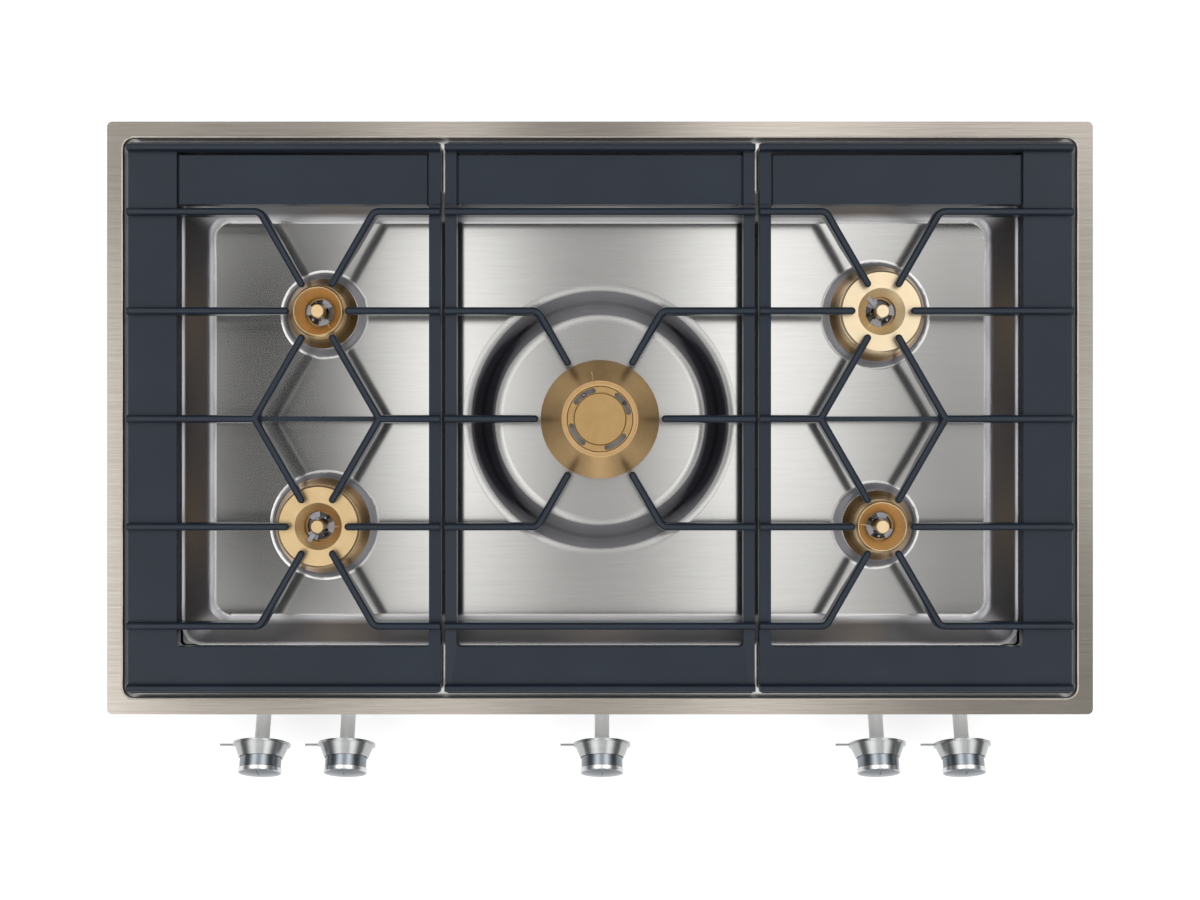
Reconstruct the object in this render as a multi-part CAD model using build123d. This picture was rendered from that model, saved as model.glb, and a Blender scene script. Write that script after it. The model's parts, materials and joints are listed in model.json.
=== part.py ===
from build123d import *

import math
import os

# A gas cooktop with five brass burners in a pressed stainless tray, for a cut-out in a
# worktop, with its knobs on the cabinet front below.
# Frame: X to the cook's right, Y away from the cook, Z up, in millimetres. The origin is
# the middle of the cut-out at the level of the worktop's upper face.
# A solid that cuts a hole or a slot runs 1 mm past the faces that it opens.

# ---- fits and clearances ---------------------------------------------------------------
SHAFT_FIT = 0.05  # a turned pin in its bored hole, on the radius
LOOSE_FIT = 0.5  # a piece through a punched hole, on the radius
RUNNING_GAP = 0.5  # a turning or sliding piece beside a fixed one

# ---- tray: one deep-drawn stainless sheet ----------------------------------------------
FLANGE_WIDTH = 908.0
FLANGE_DEPTH = 546.0
FLANGE_CORNER_R = 5.0
SHEET = 2.0
SEAL_THICKNESS = 1.0
SEAL_WIDTH = 8.0
SEAL_INSET = 1.5
RECESS_WIDTH = 877.0
RECESS_LENGTH = 514.0
RECESS_CORNER_R = 9.0
RECESS_DEPTH = 12.0
RECESS_BEND = 2.5
BASIN_WIDTH = 772.0
BASIN_LENGTH = 417.0
BASIN_CORNER_R = 17.0
BASIN_FLOOR_CORNER_R = 22.0
BASIN_DEPTH = 23.0
BASIN_WALL_ANGLE = 40.0  # from upright
BASIN_EDGE_BEND = 5.0
BASIN_FLOOR_BEND = 12.0
DISH_RADIUS = 120.0
DISH_FLOOR_RADIUS = 101.0
DISH_DEPTH = 10.0
DISH_BEND = 36.0
BOSS_HEIGHT = 3.0
BOSS_FLARE = 7.0
BOSS_BEND = 12.0

# ---- burner field ----------------------------------------------------------------------
BURNER_X = 259.0
FIELD_Y = -1.0  # the middle of the burner field
BURNER_ROW = 98.8  # from the middle bar to a burner row
END_BAR_ROW = 189.5  # from the middle bar to an end bar
FINGER_ANGLE = 60.0  # between neighbouring fingers round a burner

# ---- pan supports ----------------------------------------------------------------------
SUPPORT_SPAN = 865.0  # over all three
SUPPORT_LENGTH = 505.0
SUPPORT_JOINT = 4.1  # gap between two supports
CENTRE_SUPPORT_WIDTH = 284.2
SUPPORT_CORNER_R = 4.0
SIDE_PLATE = 44.5
JOINT_PLATE = 10.6
FRONT_PLATE = 42.5
REAR_PLATE = 56.5
PLATE_TOP = 7.0  # over the flange
PLATE_DEPTH = 14.0
PLATE_SKIN = 5.0
PLATE_WALL = 4.0
WINDOW_CORNER_R = 4.0
REAR_PANEL_DROP = 2.0
REAR_GROOVE = 1.8
REAR_GROOVE_DEPTH = 4.5
REAR_SLOT = 2.4
JOINT_FALL = 1.3  # how far a joint plate slopes down to the joint
JOINT_FALL_FRONT = 4.0  # width of the slope at the front edge
BAR_RISE = 7.0  # bar crown over the plates
BAR_DEPTH = 14.0
BAR_FOOT = 7.6
BAR_SHOULDER = 6.6
BAR_CROWN = 3.0
BAR_BEND = 8.0
RIM_INSET = 5.0  # rim bar's middle from the support's edge
RIB = 8.4
LINK_WIDTH = 4.6
LINK_DEPTH = 6.0
CORNER_TIP_R = 24.8  # circle left free between the finger tips
CENTRE_TIP_R = 55.8
TIP_DEPTH = 4.5
RELIEF_CORNER_FOOT = 70.0  # radius at which a finger has its full depth
RELIEF_CENTRE_R = 62.0
RELIEF_CENTRE_FOOT = 78.0
FOOT_RADIUS = 4.6
FOOT_HEIGHT = 3.0
FOOT_STEM_R = 2.0
FOOT_STEM = 4.0
FOOT_BOSS_R = 5.2
FOOT_EDGE = 20.0  # foot's middle from the support's front or rear edge

# ---- burners ---------------------------------------------------------------------------
SMALL = dict(
    boss=32.5,
    neck=18.0,
    flange=24.0,
    stub=20.5,
    skirt=32.5,
    shoulder=24.8,
    ring=23.9,
    ring_top=9.5,
    funnel=21.8,
    hole=13.3,
    notch=0.0,  # the small rings have none
    ports=24,
)
LARGE = dict(
    boss=42.5,
    neck=24.0,
    flange=34.0,
    stub=30.5,
    skirt=44.4,
    shoulder=38.6,
    ring=37.9,
    ring_top=6.0,
    funnel=21.7,
    hole=14.1,
    notch=17.8,  # reach of the notch for the spider's tongue
    ports=36,
)
STUB_TOP = -20.0
HEAD_TOP = -2.0
CONE_TOP = -5.0
HEAD_LEDGE = -9.0
LEDGE_WIDTH = 1.6
SKIRT_FOOT = -21.0
SKIRT_EDGE = 2.0
SKIRT_WALL = 3.0
CUP_FLOOR = -66.0
FLANGE_THICK = 4.0
MIXING_BORE_R = 6.4
PORT_WIDTH = 1.8
PORT_DEPTH = 2.4
PORT_REACH = 3.0
NECK_INSET = 2.6  # of the port neck from the ring's edge
RIM_EDGE = 1.6
RING_LIP = 2.0  # height of the upright edge at the foot of the funnel
LIGHTING_SLIT = 1.0
LIGHTING_ROOF = 2.0  # brass left over the slit
PIN_RADIUS = 6.3
PIN_TOP = 12.0
PIN_EDGE = 0.8
SPIDER_HUB_R = 5.2
SPIDER_ARM = 4.0
SPIDER_THICK = 3.0
SPIDER_ARM_INSET = 0.3
SPIDER_PAD = 2.0
SPIDER_PAD_INSET = 0.6
SPIDER_PAD_R = 8.4
SPIDER_PAD_ANGLE = 50.0
TONGUE_THICK = 1.6
TONGUE_GAP = 0.5  # round the tongue in its notch
ROD_CIRCLE_R = 9.3
ROD_RADIUS = 1.6
ROD_TOP = -1.0
ROD_FOOT = -60.0
ROD_POINT = 3.0
SPARK_TIP_R = 0.5
SENSOR_TIP_R = 1.1

# centre burner
CENTRE_EDGE_R = 55.0
CENTRE_EDGE_Z = -7.0
CENTRE_EDGE = 2.0
CENTRE_CREST_R = 35.2
CENTRE_CREST_Z = 6.0
CENTRE_CHANNEL_R = 34.4
CENTRE_CHANNEL_Z = -1.0
CENTRE_WELL_R = 29.6
CENTRE_CAP_R = 30.5
CENTRE_CAP_GAP = 0.3
CENTRE_CAP_THICK = 4.0
CENTRE_CAP_PROUD = 1.0  # of the cap's rim over the floor of the channel
CENTRE_CAP_EDGE = 0.6
CENTRE_DISC_R = 24.2
CENTRE_DISC_RISE = 3.0
CENTRE_DISC_EDGE = 0.8
CENTRE_SLOT_R = 27.0
CENTRE_SLOT_WIDTH = 4.6
CENTRE_SLOT_ANGLE = 41.0
CENTRE_SLOT_START = 34.0
CENTRE_BODY_R = 49.0
CENTRE_BODY_TOP = -9.0
CENTRE_BODY_WALL = 16.0
CENTRE_CUP_Z = -12.0
CENTRE_FLANGE_R = 52.0
CENTRE_NECK_R = 30.0
CENTRE_PORTS = 48
CENTRE_SLIT_ANGLE = 100.0
CENTRE_SLIT = 0.8

# ---- knobs and valves ------------------------------------------------------------------
KNOB_PITCH = 81.5
LEFT_PAIR_X = -283.4
RIGHT_PAIR_X = 306.3
MIDDLE_KNOB_X = 1.9
KNOB_Z = -60.0  # where a knob's axis meets the fascia
FASCIA_Y = -311.0
FASCIA_TILT = 22.0  # of the fascia back from upright, and of the knobs up from level
BEZEL_RADIUS = 27.2
BEZEL_FLANGE = 2.0
CONE_BACK_R = 25.5
CONE_FRONT_R = 20.9
CONE_LENGTH = 11.6
BEZEL_WALL = 2.4
INDEX_PIN_R = 1.15
INDEX_PIN_REACH = 12.6
CAP_RADIUS = 19.6
CAP_SHOWN = 10.2
CAP_OVERLAP = 2.5
CAP_WALL = 2.2
CAP_RING_R = 20.45
CAP_RING = 4.5
CAP_RING_EDGE = 0.6
CAP_RING_SLOPE = 0.4  # length of the step up to the ring
CAP_WEB = 1.0
CAP_FACE_R = 18.6
CAP_DOME = 2.4
CAP_MARK = 1.0
CAP_MARK_DEPTH = 0.5
CAP_MARK_LENGTH = 11.0
CAP_MARK_INSET = 2.0
CAP_BOSS_R = 7.5
PRESS_TRAVEL = 3.0
SPINDLE_R = 4.0
SPINDLE_FLAT = 2.8  # from the axis to the flat of the D
SPINDLE_GRIP = 12.0
SPINDLE_END_GAP = 1.0
TUBE_R = 7.0
TUBE_COLLAR_R = 13.0
TUBE_COLLAR = 2.0
VALVE_SETBACK = 74.0  # from the fascia along the knob's axis
VALVE_LENGTH = 42.0
VALVE_R = 11.0
SADDLE_TOP = -96.0
PLUG_R = 8.0
PLUG_LENGTH = 30.0
PLUG_END_GAP = 1.0
PLUG_SOCKET = 20.0
PLUG_PORT_R = 2.5
PLUG_PORT_INSET = 5.0
NOSE_R = 6.5
NOSE_LENGTH = 10.0

# ---- gas line --------------------------------------------------------------------------
MANIFOLD_SIDE = 16.0
MANIFOLD_BORE_R = 6.0
MANIFOLD_Y = -240.0
MANIFOLD_Z = -112.0
MANIFOLD_END = 22.0  # past the outer valves
MANIFOLD_WALL = 4.0  # at the closed end
FEED_PIPE_R = 4.0
FEED_BORE_R = 3.0
FEED_BEND = 10.0
FEED_RUN = 14.0  # straight on from the valve before the pipe turns up
FEED_RISE_Y = -150.0  # where the pipes reach the level of the holders
HOLDER_SIDE = 24.0
HOLDER_HEIGHT = 15.0
INJECTOR_R = 4.0
INJECTOR_HEIGHT = 8.0
INLET_PIPE_R = 8.0
INLET_BEND = 16.0
INLET_X = 412.0
INLET_Z = -100.0
INLET_RISE_Y = (-150.0, -110.0)
INLET_THREAD_R = 10.48
INLET_THREAD = 15.0
INLET_SHANK_R = 11.3
INLET_NUT_R = 13.4
INLET_NUT = 9.0
INLET_LOCK_NUT = 5.0

# ---- under-box -------------------------------------------------------------------------
BOX_WIDTH = 868.0
BOX_LENGTH = 500.0
BOX_FLOOR = -121.0
BOX_SHEET = 1.0
BOX_CORNER_R = 6.0
BOX_LIP = 12.0
VENT_LENGTH = 60.0
VENT_WIDTH = 6.0
VENT_PITCH = 14.0
VENT_COUNT = 4
CLAMP_ROW = 160.0
CLAMP_WIDTH = 30.0
CLAMP_PLATE = 2.0
CLAMP_HEIGHT = 34.0
CLAMP_REACH = 18.0
CLAMP_TONGUE_Z = -66.0
CLAMP_SCREW_R = 3.0
CLAMP_SCREW_TOP = -34.0
CLAMP_SCREW_LENGTH = 36.0
CLAMP_FOOT_R = 5.0
CLAMP_FOOT = 3.0
CLAMP_FOOT_INSET = 1.0
MODULE_WIDTH = 96.0
MODULE_LENGTH = 52.0
MODULE_HEIGHT = 32.0
MODULE_Y = 210.0
MODULE_CORNER_R = 4.0
MODULE_SPARK_R = 2.6
MODULE_SPARK = 5.0
MODULE_SPARK_PITCH = 14.0

# ---- levels that follow from the sizes above -------------------------------------------
FLANGE_TOP = SEAL_THICKNESS + SHEET
LEDGE_Z = FLANGE_TOP - RECESS_DEPTH
BASIN_Z = LEDGE_Z - BASIN_DEPTH
DISH_Z = BASIN_Z - DISH_DEPTH
BOSS_Z = BASIN_Z + BOSS_HEIGHT
PLATE_Z = FLANGE_TOP + PLATE_TOP
PLATE_FOOT_Z = PLATE_Z - PLATE_DEPTH
CROWN_Z = PLATE_Z + BAR_RISE
CENTRE_LEDGE_Z = CENTRE_CHANNEL_Z + CENTRE_CAP_PROUD - CENTRE_CAP_THICK
BAR_FOOT_Z = CROWN_Z - BAR_DEPTH
SUPPORT_FOOT_Z = LEDGE_Z + FOOT_HEIGHT
SIDE_INNER_X = CENTRE_SUPPORT_WIDTH / 2 + SUPPORT_JOINT
SIDE_OUTER_X = SUPPORT_SPAN / 2
REAR_Y = SUPPORT_LENGTH / 2
FRONT_Y = -SUPPORT_LENGTH / 2
WINDOW_REAR_Y = REAR_Y - REAR_PLATE
WINDOW_FRONT_Y = FRONT_Y + FRONT_PLATE
ROWS = [END_BAR_ROW, BURNER_ROW, 0.0, -BURNER_ROW, -END_BAR_ROW]
BAR_YS = [FIELD_Y + row for row in ROWS]
REAR_BURNER_Y = FIELD_Y + BURNER_ROW
FRONT_BURNER_Y = FIELD_Y - BURNER_ROW

CORNER_BURNERS = {
    "rear_left": (-BURNER_X, REAR_BURNER_Y, SMALL, 50.0),
    "front_left": (-BURNER_X, FRONT_BURNER_Y, LARGE, 235.0),
    "rear_right": (BURNER_X, REAR_BURNER_Y, LARGE, 130.0),
    "front_right": (BURNER_X, FRONT_BURNER_Y, SMALL, 80.0),
}
# direction of the lighting slit of each ring
RING_SLITS = {"rear_left": 305.0, "front_left": 358.0, "rear_right": 231.0, "front_right": 175.0}
KNOBS = {
    "rear_left": LEFT_PAIR_X - KNOB_PITCH / 2,
    "front_left": LEFT_PAIR_X + KNOB_PITCH / 2,
    "center": MIDDLE_KNOB_X,
    "front_right": RIGHT_PAIR_X - KNOB_PITCH / 2,
    "rear_right": RIGHT_PAIR_X + KNOB_PITCH / 2,
}

parts = {}


# ---- helpers ---------------------------------------------------------------------------
def slab(size_x, size_y, radius, low, high):
    """An upright block on the Z axis with rounded plan corners."""
    plan = Plane.XY.offset(low) * RectangleRounded(size_x, size_y, radius)
    return extrude(plan, high - low)


def block(x_low, x_high, y_low, y_high, z_low, z_high):
    """A plain block between two corners."""
    size = (x_high - x_low, y_high - y_low, z_high - z_low)
    middle = Pos((x_low + x_high) / 2, (y_low + y_high) / 2, (z_low + z_high) / 2)
    return middle * Box(*size)


def rod(radius, low, high, x=0.0, y=0.0):
    """An upright round bar."""
    return Pos(x, y, (low + high) / 2) * Cylinder(radius, high - low)


def turned(profile, x=0.0, y=0.0):
    """A solid turned about an upright axis from (radius, height) points."""
    face = make_face(Plane.XZ * Polyline(*profile, close=True))
    return Pos(x, y, 0) * revolve(face, Axis.Z)


def on_spindle(x, solid):
    """Lays a solid that stands on the XY plane along knob axis x, up becoming outwards."""
    return Pos(x, FASCIA_Y, KNOB_Z) * Rotation(90 - FASCIA_TILT, 0, 0) * solid


def axis_point(x, out):
    """The point on knob axis x that is out in front of the fascia."""
    tilt = math.radians(FASCIA_TILT)
    return (x, FASCIA_Y - out * math.cos(tilt), KNOB_Z + out * math.sin(tilt))


def pipe(points, bend, radius, bore):
    """A round pipe along straight runs joined by bends."""
    path = FilletPolyline(*points, radius=bend) if len(points) > 2 else Line(*points)
    end = Plane(origin=path @ 0, z_dir=path % 0)
    return sweep(end * (Circle(radius) - Circle(bore)), path)


# ---- tray ------------------------------------------------------------------------------
def basin_space(skin):
    """The sunk basin, its walls moved out square to themselves by skin."""
    lean = math.radians(BASIN_WALL_ANGLE)
    high = LEDGE_Z - skin
    low = BASIN_Z - skin
    sections = []
    for level, radius in ((high, BASIN_CORNER_R), (low, BASIN_FLOOR_CORNER_R)):
        out = skin / math.cos(lean) - (LEDGE_Z - level) * math.tan(lean)
        plan = RectangleRounded(BASIN_WIDTH + 2 * out, BASIN_LENGTH + 2 * out, radius + skin)
        sections.append(Plane.XY.offset(level) * plan)
    return loft(sections, ruled=True)


def tray_space(skin, high):
    """The whole hollow of the tray up to high, grown by skin, with its bends."""
    recess = slab(
        RECESS_WIDTH + 2 * skin,
        RECESS_LENGTH + 2 * skin,
        RECESS_CORNER_R + skin,
        LEDGE_Z - skin,
        high,
    )
    dish_lean = math.atan2(DISH_RADIUS - DISH_FLOOR_RADIUS, DISH_DEPTH)
    out = skin / math.cos(dish_lean) - skin * math.tan(dish_lean)
    dish = turned(
        [
            (0, BASIN_Z - skin),
            (DISH_RADIUS + out, BASIN_Z - skin),
            (DISH_FLOOR_RADIUS + out, DISH_Z - skin),
            (0, DISH_Z - skin),
        ],
        y=FIELD_Y,
    )
    space = recess + basin_space(skin) + dish
    inner_loop = [
        edge
        for edge in space.edges().filter_by_position(Axis.Z, LEDGE_Z - skin, LEDGE_Z - skin)
        if abs(edge.center().X) < RECESS_WIDTH / 2 - RECESS_CORNER_R - 10
        and abs(edge.center().Y) < RECESS_LENGTH / 2 - RECESS_CORNER_R - 10
    ]
    space = fillet(inner_loop, BASIN_EDGE_BEND - skin)
    floor = space.edges().filter_by_position(Axis.Z, BASIN_Z - skin, BASIN_Z - skin)
    dish_rim = floor.filter_by(GeomType.CIRCLE).sort_by(SortBy.RADIUS)[-1]
    space = fillet(dish_rim, DISH_BEND - skin)
    floor = space.edges().filter_by_position(Axis.Z, BASIN_Z - skin, BASIN_Z - skin)
    wall_foot = [edge for edge in floor if edge.geom_type != GeomType.CIRCLE or edge.radius < 60]
    space = fillet(wall_foot, BASIN_FLOOR_BEND + skin)
    dish_foot = space.edges().filter_by_position(Axis.Z, DISH_Z - skin, DISH_Z - skin)
    return fillet(dish_foot, DISH_BEND + skin)


def boss_bump(x, y, radius, low, high):
    """The raised seat under a corner burner, with a soft bend at its top and its foot."""
    foot = radius + BOSS_FLARE
    edge = foot + BOSS_BEND
    corners = [(edge, low), (foot, low), (radius, high), (0, high)]
    crown = FilletPolyline(*corners, radius=BOSS_BEND)
    under = Polyline((0, high), (0, low - SHEET), (edge, low - SHEET), (edge, low))
    return Pos(x, y, 0) * revolve(make_face(Plane.XZ * (crown + under)), Axis.Z)


def steel_tray():
    """Flange, recess, basin and dish of one sheet, with the holes of the five burners."""
    flange = slab(FLANGE_WIDTH, FLANGE_DEPTH, FLANGE_CORNER_R, SEAL_THICKNESS, FLANGE_TOP)
    skin = tray_space(SHEET, FLANGE_TOP)
    hollow = tray_space(0.0, FLANGE_TOP)
    for x, y, size, _ in CORNER_BURNERS.values():
        hollow -= boss_bump(x, y, size["boss"], BASIN_Z, BOSS_Z)
        skin -= boss_bump(x, y, size["boss"] - SHEET, BASIN_Z - SHEET, BOSS_Z - SHEET)
    tray = flange + skin - hollow
    for x, y, size, _ in CORNER_BURNERS.values():
        tray -= rod(size["neck"] + LOOSE_FIT, BASIN_Z - 2 * SHEET, BOSS_Z + SHEET, x, y)
    tray -= rod(CENTRE_NECK_R + LOOSE_FIT, DISH_Z - 2 * SHEET, DISH_Z + SHEET, 0, FIELD_Y)
    mouth = [
        edge
        for edge in tray.edges().filter_by_position(Axis.Z, FLANGE_TOP, FLANGE_TOP)
        if abs(edge.center().X) < RECESS_WIDTH / 2 + 1
        and abs(edge.center().Y) < RECESS_LENGTH / 2 + 1
    ]
    return fillet(mouth, RECESS_BEND)


def worktop_seal():
    """Foam ring under the flange."""
    outer = (FLANGE_WIDTH - 2 * SEAL_INSET, FLANGE_DEPTH - 2 * SEAL_INSET)
    ring = slab(*outer, FLANGE_CORNER_R, 0, SEAL_THICKNESS)
    inner = (outer[0] - 2 * SEAL_WIDTH, outer[1] - 2 * SEAL_WIDTH)
    return ring - slab(*inner, FLANGE_CORNER_R, -1, SEAL_THICKNESS + 1)


# ---- pan supports ----------------------------------------------------------------------
def bar_face(plane, half=False):
    """Section of a cast bar: sides with draft and a round crown, on its foot line."""
    shoulder = BAR_DEPTH - BAR_CROWN
    left = 0.0 if half else -BAR_FOOT / 2
    right_side = Polyline((left, 0), (BAR_FOOT / 2, 0), (BAR_SHOULDER / 2, shoulder))
    across = BAR_SHOULDER / 2
    radius = (across**2 + BAR_CROWN**2) / (2 * BAR_CROWN)
    if half:
        crown = CenterArc(
            (0, BAR_DEPTH - radius),
            radius,
            math.degrees(math.asin((shoulder - BAR_DEPTH + radius) / radius)),
            90 - math.degrees(math.asin((shoulder - BAR_DEPTH + radius) / radius)),
        )
        close = Line((0, BAR_DEPTH), (0, 0))
    else:
        crown = ThreePointArc((across, shoulder), (0, BAR_DEPTH), (-across, shoulder))
        close = Line((-across, shoulder), (-BAR_FOOT / 2, 0))
    return make_face(plane * (right_side + crown + close))


def across_path(path, position):
    """Upright plane square to a level path, its Y axis up."""
    ahead = path % position
    return Plane(origin=path @ position, x_dir=Vector(0, 0, 1).cross(ahead), z_dir=ahead)


def bar(points, tip=False):
    """A bar along plan points, bent where it turns, with a round tip at its last point."""
    places = [(x, y, BAR_FOOT_Z) for x, y in points]
    path = FilletPolyline(*places, radius=BAR_BEND) if len(places) > 2 else Line(*places)
    solid = sweep(bar_face(across_path(path, 0)), path)
    if tip:
        half = bar_face(across_path(path, 1), half=True)
        solid += revolve(half, Axis(path @ 1, (0, 0, -1)), revolution_arc=180)
    return solid


def tip_point(x, y, angle, radius):
    """The plan point at radius from x, y in the direction of angle."""
    turn = math.radians(angle)
    return (x + radius * math.cos(turn), y + radius * math.sin(turn))


def finger_relief(x, y, radius, foot):
    """What is cut away under the fingers, which get thinner from foot in to radius."""
    under = CROWN_Z - TIP_DEPTH
    low = PLATE_FOOT_Z - 1
    return turned(
        [(0, low), (foot, low), (foot, BAR_FOOT_Z), (radius, under), (0, under)], x, y
    )


def joint_slope(edge_x, inward):
    """The wedge that lets a joint plate fall away to the joint, narrowing at the front."""
    def section(y, width, fall):
        corners = [(0, 0), (inward * width, 0), (0, -fall)]
        plane = Plane(origin=(edge_x, y, PLATE_Z), x_dir=(1, 0, 0), z_dir=(0, -1, 0))
        return make_face(plane * Polyline(*corners, close=True))

    front_fall = JOINT_FALL * JOINT_FALL_FRONT / JOINT_PLATE
    back = section(WINDOW_REAR_Y, JOINT_PLATE, JOINT_FALL)
    corner = section(WINDOW_FRONT_Y, JOINT_PLATE, JOINT_FALL)
    front = section(FRONT_Y, JOINT_FALL_FRONT, front_fall)
    return loft([back, corner], ruled=True) + loft([corner, front], ruled=True)


def plate_frame(x_low, x_high, low_plate, high_plate):
    """The cast frame of one support: side, front and rear plates round the window."""
    middle = (x_low + x_high) / 2
    width = x_high - x_low
    frame = Pos(middle, 0, 0) * slab(width, SUPPORT_LENGTH, SUPPORT_CORNER_R, PLATE_FOOT_Z, PLATE_Z)
    window_low = x_low + low_plate
    window_high = x_high - high_plate
    window = Pos((window_low + window_high) / 2, (WINDOW_FRONT_Y + WINDOW_REAR_Y) / 2, 0)
    frame -= window * slab(
        window_high - window_low,
        WINDOW_REAR_Y - WINDOW_FRONT_Y,
        WINDOW_CORNER_R,
        PLATE_FOOT_Z - 1,
        PLATE_Z + 1,
    )
    panel_rear = REAR_Y - RIM_INSET - BAR_FOOT / 2 - REAR_SLOT
    slot = (window_low, window_high, panel_rear, panel_rear + REAR_SLOT)
    frame -= block(*slot, PLATE_FOOT_Z - 1, PLATE_Z + 1)
    panel = (window_low, window_high, WINDOW_REAR_Y - 1, panel_rear + 1)
    frame -= block(*panel, PLATE_Z - REAR_PANEL_DROP, PLATE_Z + 1)
    for edge in (window_low, window_high - REAR_GROOVE):
        groove = (edge, edge + REAR_GROOVE, WINDOW_REAR_Y - 1, panel_rear + 1)
        frame -= block(*groove, PLATE_Z - REAR_GROOVE_DEPTH, PLATE_Z + 1)
    bay = (window_low + PLATE_WALL, window_high - PLATE_WALL)
    ceiling = PLATE_Z - PLATE_SKIN
    front_bay = (FRONT_Y + PLATE_WALL, WINDOW_FRONT_Y - PLATE_WALL)
    rear_bay = (WINDOW_REAR_Y + PLATE_WALL, panel_rear - PLATE_WALL)
    frame -= block(*bay, *front_bay, PLATE_FOOT_Z - 1, ceiling)
    frame -= block(*bay, *rear_bay, PLATE_FOOT_Z - 1, ceiling - REAR_PANEL_DROP)
    return frame


def side_plate_bays(x_low, x_high):
    """Hollows under a wide side plate, with a rib left under each bar."""
    rows = [FRONT_Y, *sorted(BAR_YS), REAR_Y]
    inside = (x_low + PLATE_WALL, x_high - PLATE_WALL)
    bays = []
    for index in range(len(rows) - 1):
        low = rows[index] + (PLATE_WALL if index == 0 else RIB / 2)
        high = rows[index + 1] - (PLATE_WALL if index == len(rows) - 2 else RIB / 2)
        bays.append(block(*inside, low, high, PLATE_FOOT_Z - 1, PLATE_Z - PLATE_SKIN))
    return bays


def foot_places(side):
    """Plan places of the rubber feet of one support."""
    joint_x = CENTRE_SUPPORT_WIDTH / 2
    ends = (FRONT_Y + FOOT_EDGE, REAR_Y - FOOT_EDGE)
    if side == 0:
        inset = joint_x - JOINT_PLATE / 2
        return [(sign * inset, y) for sign in (-1, 1) for y in ends]
    inner = side * (SIDE_INNER_X + JOINT_PLATE / 2)
    outer = side * (SIDE_OUTER_X - SIDE_PLATE / 2)
    middle = (BAR_YS[2] + BAR_YS[3]) / 2
    return [(inner, y) for y in ends] + [(outer, y) for y in (*ends, middle)]


def foot_seats(solid, places):
    """Adds the bosses under a support and bores them for the stems of the feet."""
    for x, y in places:
        solid += rod(FOOT_BOSS_R, SUPPORT_FOOT_Z, PLATE_Z - PLATE_SKIN, x, y)
    for x, y in places:
        top = SUPPORT_FOOT_Z + FOOT_STEM + SHAFT_FIT
        solid -= rod(FOOT_STEM_R + SHAFT_FIT, SUPPORT_FOOT_Z - 1, top, x, y)
    return solid


def rubber_feet(places):
    """Round pads on the ledge of the tray, each with its stem in the casting."""
    feet = []
    for x, y in places:
        pad = rod(FOOT_RADIUS, LEDGE_Z, SUPPORT_FOOT_Z, x, y)
        feet.append(pad + rod(FOOT_STEM_R, SUPPORT_FOOT_Z, SUPPORT_FOOT_Z + FOOT_STEM, x, y))
    return feet


def rim_bars(x_low, x_high):
    """The bars along the front and rear edges of a support."""
    rows = (FRONT_Y + RIM_INSET, REAR_Y - RIM_INSET)
    return [bar([(x_low, y), (x_high, y)]) for y in rows]


def left_support():
    """The left pan support, with six fingers round each of its two burners."""
    x_low, x_high = -SIDE_OUTER_X, -SIDE_INNER_X
    solid = plate_frame(x_low, x_high, SIDE_PLATE, JOINT_PLATE)
    for bay in side_plate_bays(x_low, x_low + SIDE_PLATE):
        solid -= bay
    solid -= joint_slope(x_high, -1)
    bars = rim_bars(x_low, x_high)
    rise = math.tan(math.radians(FINGER_ANGLE))
    end_bend = (END_BAR_ROW - BURNER_ROW) / rise
    node = BURNER_ROW / rise
    reach = CORNER_TIP_R + BAR_FOOT / 2
    for side, edge in ((-1, x_low), (1, x_high)):
        for row_y, end_y, lift in (
            (REAR_BURNER_Y, BAR_YS[0], 1),
            (FRONT_BURNER_Y, BAR_YS[4], -1),
        ):
            level = 0 if side > 0 else 180
            outward = lift * (FINGER_ANGLE if side > 0 else 180 - FINGER_ANGLE)
            inward = -outward
            bend = (-BURNER_X + side * end_bend, end_y)
            outer_tip = tip_point(-BURNER_X, row_y, outward, reach)
            inner_tip = tip_point(-BURNER_X, row_y, inward, reach)
            level_tip = tip_point(-BURNER_X, row_y, level, reach)
            bars.append(bar([(edge, end_y), bend, outer_tip], tip=True))
            bars.append(bar([(edge, row_y), level_tip], tip=True))
            bars.append(bar([(-BURNER_X + side * node, FIELD_Y), inner_tip], tip=True))
        knot = (-BURNER_X + side * node, FIELD_Y)
        bars.append(bar([(edge, FIELD_Y), knot]))
        bars.append(rod(BAR_SHOULDER / 2, BAR_FOOT_Z, CROWN_Z - BAR_CROWN, *knot))
    link = (FIELD_Y - LINK_WIDTH / 2, FIELD_Y + LINK_WIDTH / 2)
    bars.append(
        block(-BURNER_X - node, -BURNER_X + node, *link, BAR_FOOT_Z, BAR_FOOT_Z + LINK_DEPTH)
    )
    solid += bars
    for row_y in (REAR_BURNER_Y, FRONT_BURNER_Y):
        solid -= finger_relief(-BURNER_X, row_y, CORNER_TIP_R, RELIEF_CORNER_FOOT)
    return solid


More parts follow.
